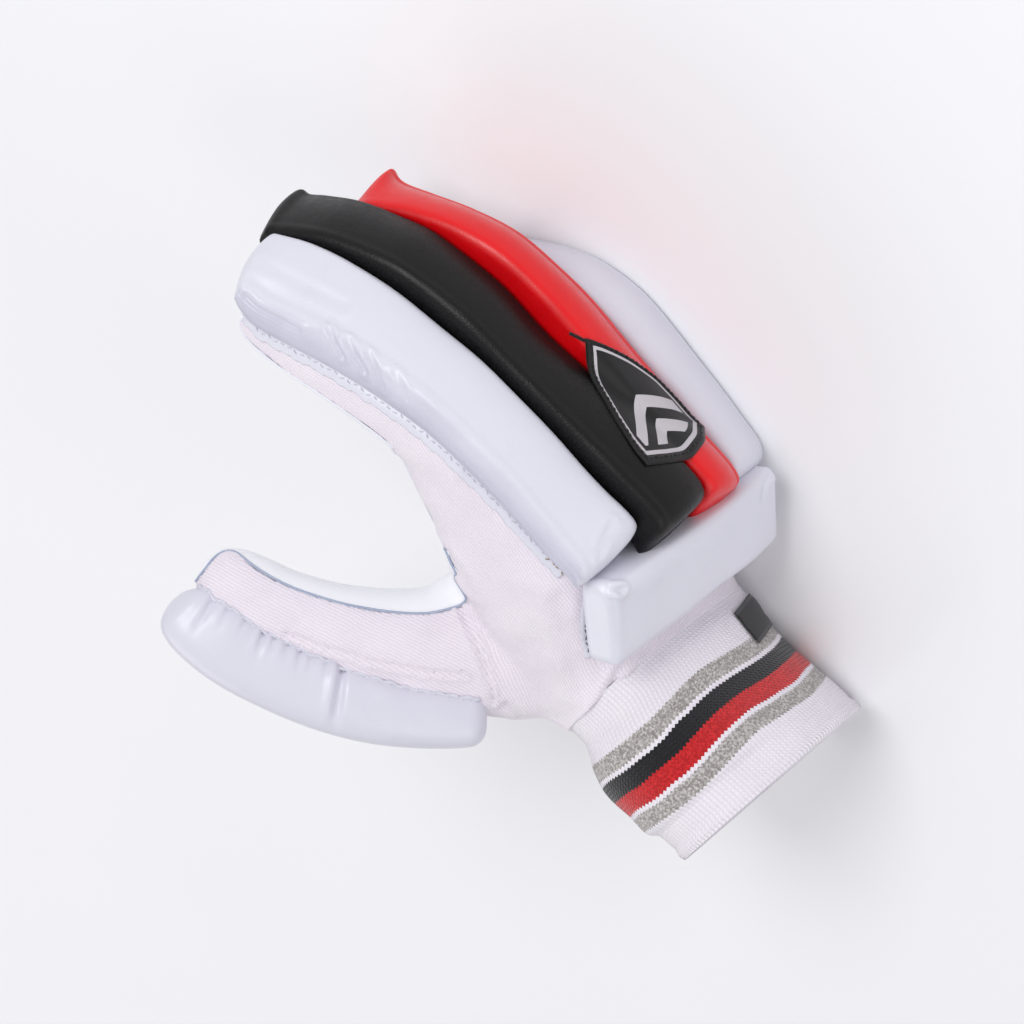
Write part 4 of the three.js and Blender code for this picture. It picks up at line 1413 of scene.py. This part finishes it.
def badge_material():
    """A black woven shield with a pale border line and two plain pale chevrons."""
    look = Look("badge_patch", Specular_IOR_Level=0.4, Sheen_Weight=0.1)
    along, across = look.uv()
    level = look.attribute("level")
    border = look.between(level, 0.8, 0.865)
    slope = look.add(along, look.times(look.size(across), 0.75))
    chevrons = [look.between(slope, low, high) for low, high in ((-14.5, -9.0), (-4.0, 1.5))]
    marks = look.times(look.math("MAXIMUM", *chevrons), look.below(level, 0.72))
    pale = look.math("MAXIMUM", border, marks)
    waves = {"Vector": look.space(), "Scale": 1.1, "Distortion": 1.0, "Detail": 1.0}
    weave = look.node("TexWave", waves).outputs[1]
    light = look.mix(weave, srgb(214, 209, 214), srgb(182, 178, 184))
    dark = look.mix(weave, srgb(15, 15, 17), srgb(6, 6, 8))
    colour = look.mix(pale, dark, light)
    return look.finish(colour, look.range(weave, 0, 1, 0.42, 0.6), look.bump(weave, 0.12, 0.6))


badge, rim = badge_object()
rim = even(rim, 0.8, True, 2) - [0, 0.1, 0]
normals = np.tile([0, -1.0, 0], (len(rim), 1))
trim("badge_stitches", stitches(rim, normals, 1.5, 0.7, 0.22, 0.3), BLACK_THREAD, "badge_patch")
tack = seen([(570, 333), (578, 337), (585, 341)], tree_of(ROLL_OBJECTS["ring"]), 0.3, 0.6)
trim("bar_tack", [tube(tack, 0.6)], BLACK_THREAD, "black_vinyl")
set_vertex_values(badge)
piece(badge, badge_material(), "badge_patch", "badge")


# Cuff

def even_ring(ring, count):
    """The same closed ring with points at even distances, from the same first direction."""
    closed = np.vstack([ring, ring[:1]])
    return spread(closed, np.linspace(0, run_of(closed)[-1], count, endpoint=False))


CUFF_COLUMNS = 144  # of knitting
CUFF_WALL = 2.4


def cuff_object():
    """The band from its mouth up the outside and, with a rounded lip, back inside."""
    stations = np.linspace(CUFF_END, WRIST_END + 1.2, 120)
    count = 4 * CUFF_COLUMNS
    outer, inner = [], []
    for x in stations:
        ring = even_ring(hand_ring(x, 480), count)
        normal = ring - ring.mean(axis=0)
        normal /= np.linalg.norm(normal, axis=1)[:, None]
        normal[:, 0] = 0
        from_end = x - CUFF_END
        j = np.arange(count)
        rib = (0.16 + 0.3 * bump_at(from_end, 0.4, 1.3)) * np.cos(2 * math.pi * j * CUFF_COLUMNS / count)
        near_side = smoothstep(0.1, 0.8, normal[:, 2])
        wave = 0.35 * np.sin(j / count * 2 * math.pi * 5 + from_end * 0.11) * smoothstep(0, 14, from_end)
        hem = 0.5 * bump_at(from_end, 1.6, 1.5) - 0.3 * bump_at(from_end, 4.6, 1.2)
        hem = hem - 2.0 * smoothstep(15, 11, from_end) * near_side
        hem = hem + 1.1 * bump_at(from_end, 17, 5) * near_side
        fit = -0.3 * smoothstep(-6, 0, x - WRIST_END)
        outer.append(ring + normal * (rib + wave + hem + fit)[:, None])
        inner.append(ring - normal * CUFF_WALL)
    across = inner[0] - outer[0]
    lip = [outer[0] + across * t + np.array([-1.0, 0, 0]) * math.sin(math.pi * t) for t in (0.8, 0.5, 0.2)]
    rings = (inner[::4] + inner[-1:])[::-1] + lip + outer
    faces, _ = grid_faces(rings)
    along = stations - CUFF_END
    along = [*-np.append(along[::4], along[-1])[::-1], -1.0, -0.7, -0.3, *along]
    column = np.arange(count + 1) / count * CUFF_COLUMNS
    uvs = [[(column[j], a), (column[j + 1], a), (column[j + 1], b), (column[j], b)]
           for a, b in zip(along, along[1:]) for j in range(count)]
    obj = outward(new_object("cuff", np.reshape(rings, (-1, 3)), faces, uvs))
    set_coords(obj, rested(coords(obj)))
    return obj


STRIPES_START = 15.5  # from the hem


def cuff_material():
    """Plain knitting: the first coordinate counts its columns, the second is millimetres from the hem."""
    look = Look("cuff_knit", Sheen_Weight=0.3, Sheen_Roughness=0.6, Specular_IOR_Level=0.2)
    column, along = look.uv()
    height = knit_height(look, column, along, 1.0, 1.5)
    off = look.size(look.less(look.math("FRACT", column), 0.5))
    line = look.add(along, look.times(off, 1.6))
    sag = look.math("SINE", look.times(column, 2 * math.pi * 4 / CUFF_COLUMNS))
    line = look.add(line, look.times(sag, 1.1))
    line = look.add(line, look.times(look.less(look.noise(11, 2), 0.5), 1.6))
    fibres = look.noise(0.45, 4)
    marl = look.range(look.noise(0.9, 3), 0.42, 0.62)
    colour = look.mix(look.noise(16, 4), srgb(253, 250, 255), srgb(238, 233, 242))
    grey = look.mix(marl, srgb(152, 147, 143), srgb(210, 206, 203))
    red = look.mix(marl, srgb(186, 6, 18), srgb(222, 34, 38))
    black = look.mix(marl, srgb(8, 8, 12), srgb(24, 24, 30))
    start = STRIPES_START
    for width, band in ((6.0, grey), (1.7, None), (7.0, red), (7.0, black), (1.7, None), (6.3, grey)):
        if band is not None:
            colour = look.mix(look.between(line, start, start + width), colour, band)
        start += width
    # Painted shade: the colour is multiplied darker, towards a mauve grey, in the grooves between the
    # knitted ribs.
    painted_shade_and_tint = look.times(look.less(1.0, height), 0.32)
    painted_shade_and_tint = look.add(painted_shade_and_tint, look.times(look.attribute("painted_shade_and_tint"), 0.7))
    dark = look.node("Mix", data_type="RGBA", blend_type="MULTIPLY")
    look.put(dark.inputs[0], look.range(painted_shade_and_tint, 0, 1))
    look.put(dark.inputs[6], colour)
    look.put(dark.inputs[7], srgb(196, 184, 196))
    normal = look.bump(look.add(height, look.times(fibres, 0.5)), 0.35)
    return look.finish(dark.outputs[2], look.range(fibres, 0.3, 0.7, 0.82, 0.98), normal)


cuff = cuff_object()
set_vertex_values(cuff)
piece(cuff, cuff_material(), "cuff_knit", "cuff")


# Woven label on the cuff

def label_object():
    """The label, laid on the cuff's back."""
    cuff_tree = tree_of(cuff)
    rows, cols = 30, 48
    top = np.zeros((rows + 1, cols + 1, 3))
    for i, j in np.ndindex(rows + 1, cols + 1):
        x = LABEL_MIDDLE[0] + LABEL_LENGTH * (i / rows - 0.5)
        radial = LABEL_MIDDLE[1] + LABEL_WIDTH * (j / cols - 0.5)
        top[i, j] = from_back(cuff_tree, x, radial)
    for _ in range(3):
        near = top[:-2, 1:-1, 1] + top[2:, 1:-1, 1] + top[1:-1, :-2, 1] + top[1:-1, 2:, 1]
        top[1:-1, 1:-1, 1] = near / 4
    top[:, :, 1] -= 0.9
    faces, uvs = [], []
    for i, j in np.ndindex(rows, cols):
        a, b = i * (cols + 1) + j, (i + 1) * (cols + 1) + j
        faces.append((a, a + 1, b + 1, b))
        uvs.append([((i + u) * 0.47, (j + v) * 0.5) for u, v in ((0, 0), (0, 1), (1, 1), (1, 0))])
    obj = outward(new_object("cuff_label", top.reshape(-1, 3), faces, uvs))
    return applied(modified(obj, "SOLIDIFY", thickness=0.7 * MM, offset=0))


def label_material():
    look = Look("woven_label", Specular_IOR_Level=0.35, Sheen_Weight=0.2)
    weave = look.node("TexWave", {"Vector": look.space(), "Scale": 1.3, "Distortion": 0.6}).outputs[1]
    along, _ = look.uv()
    edge = look.below(look.size(look.less(along, 7.0)), 5.6)
    colour = look.mix(edge, srgb(70, 70, 74), look.mix(weave, srgb(40, 40, 42), srgb(22, 22, 24)))
    return look.finish(colour, look.range(weave, 0, 1, 0.6, 0.8), look.bump(weave, 0.12, 0.6))


piece(label_object(), label_material(), "woven_label", "cuff_label")


# Floor and light

corners = [(-3000, -3000, 0), (3000, -3000, 0), (3000, 3000, 0), (-3000, 3000, 0)]
floor = new_object("floor", corners, [(0, 1, 2, 3)])
floor_look = Look("floor", Specular_IOR_Level=0.2)
paper = floor_look.mix(floor_look.noise(220, 2), srgb(244, 244, 246), srgb(240, 240, 243))
floor.data.materials.append(floor_look.finish(paper, 0.8))

world = bpy.context.scene.world or bpy.data.worlds.new("world")
bpy.context.scene.world = world
world.use_nodes = True
background = world.node_tree.nodes["Background"]
background.inputs[0].default_value = (0.98, 0.98, 1.0, 1)
background.inputs[1].default_value = 0.6


AIM = Vector((0, 0, 0.05))
for name, where, size, power in (
    ("key", (0.55, -0.75, 1.15), 0.7, 8.5),
    ("fill", (-0.9, -0.5, 0.8), 0.9, 2.5),
    ("rim", (0.1, 0.9, 0.7), 0.8, 2.0),
):
    light = bpy.data.lights.new(name, "AREA")
    light.shape = "DISK"
    light.size = size
    light.energy = power
    obj = bpy.data.objects.new(name, light)
    obj.location = where
    obj.rotation_euler = (AIM - Vector(where)).to_track_quat("-Z", "Y").to_euler()
    bpy.context.scene.collection.objects.link(obj)
bpy.context.scene.view_settings.view_transform = "Standard"
bpy.context.scene.view_settings.look = "None"

total = 0
for obj in PIECES:
    triangles = sum(len(p.vertices) - 2 for p in obj.data.polygons)
    total += triangles
    print("triangles", obj.name, triangles)
print("triangles in all", total)
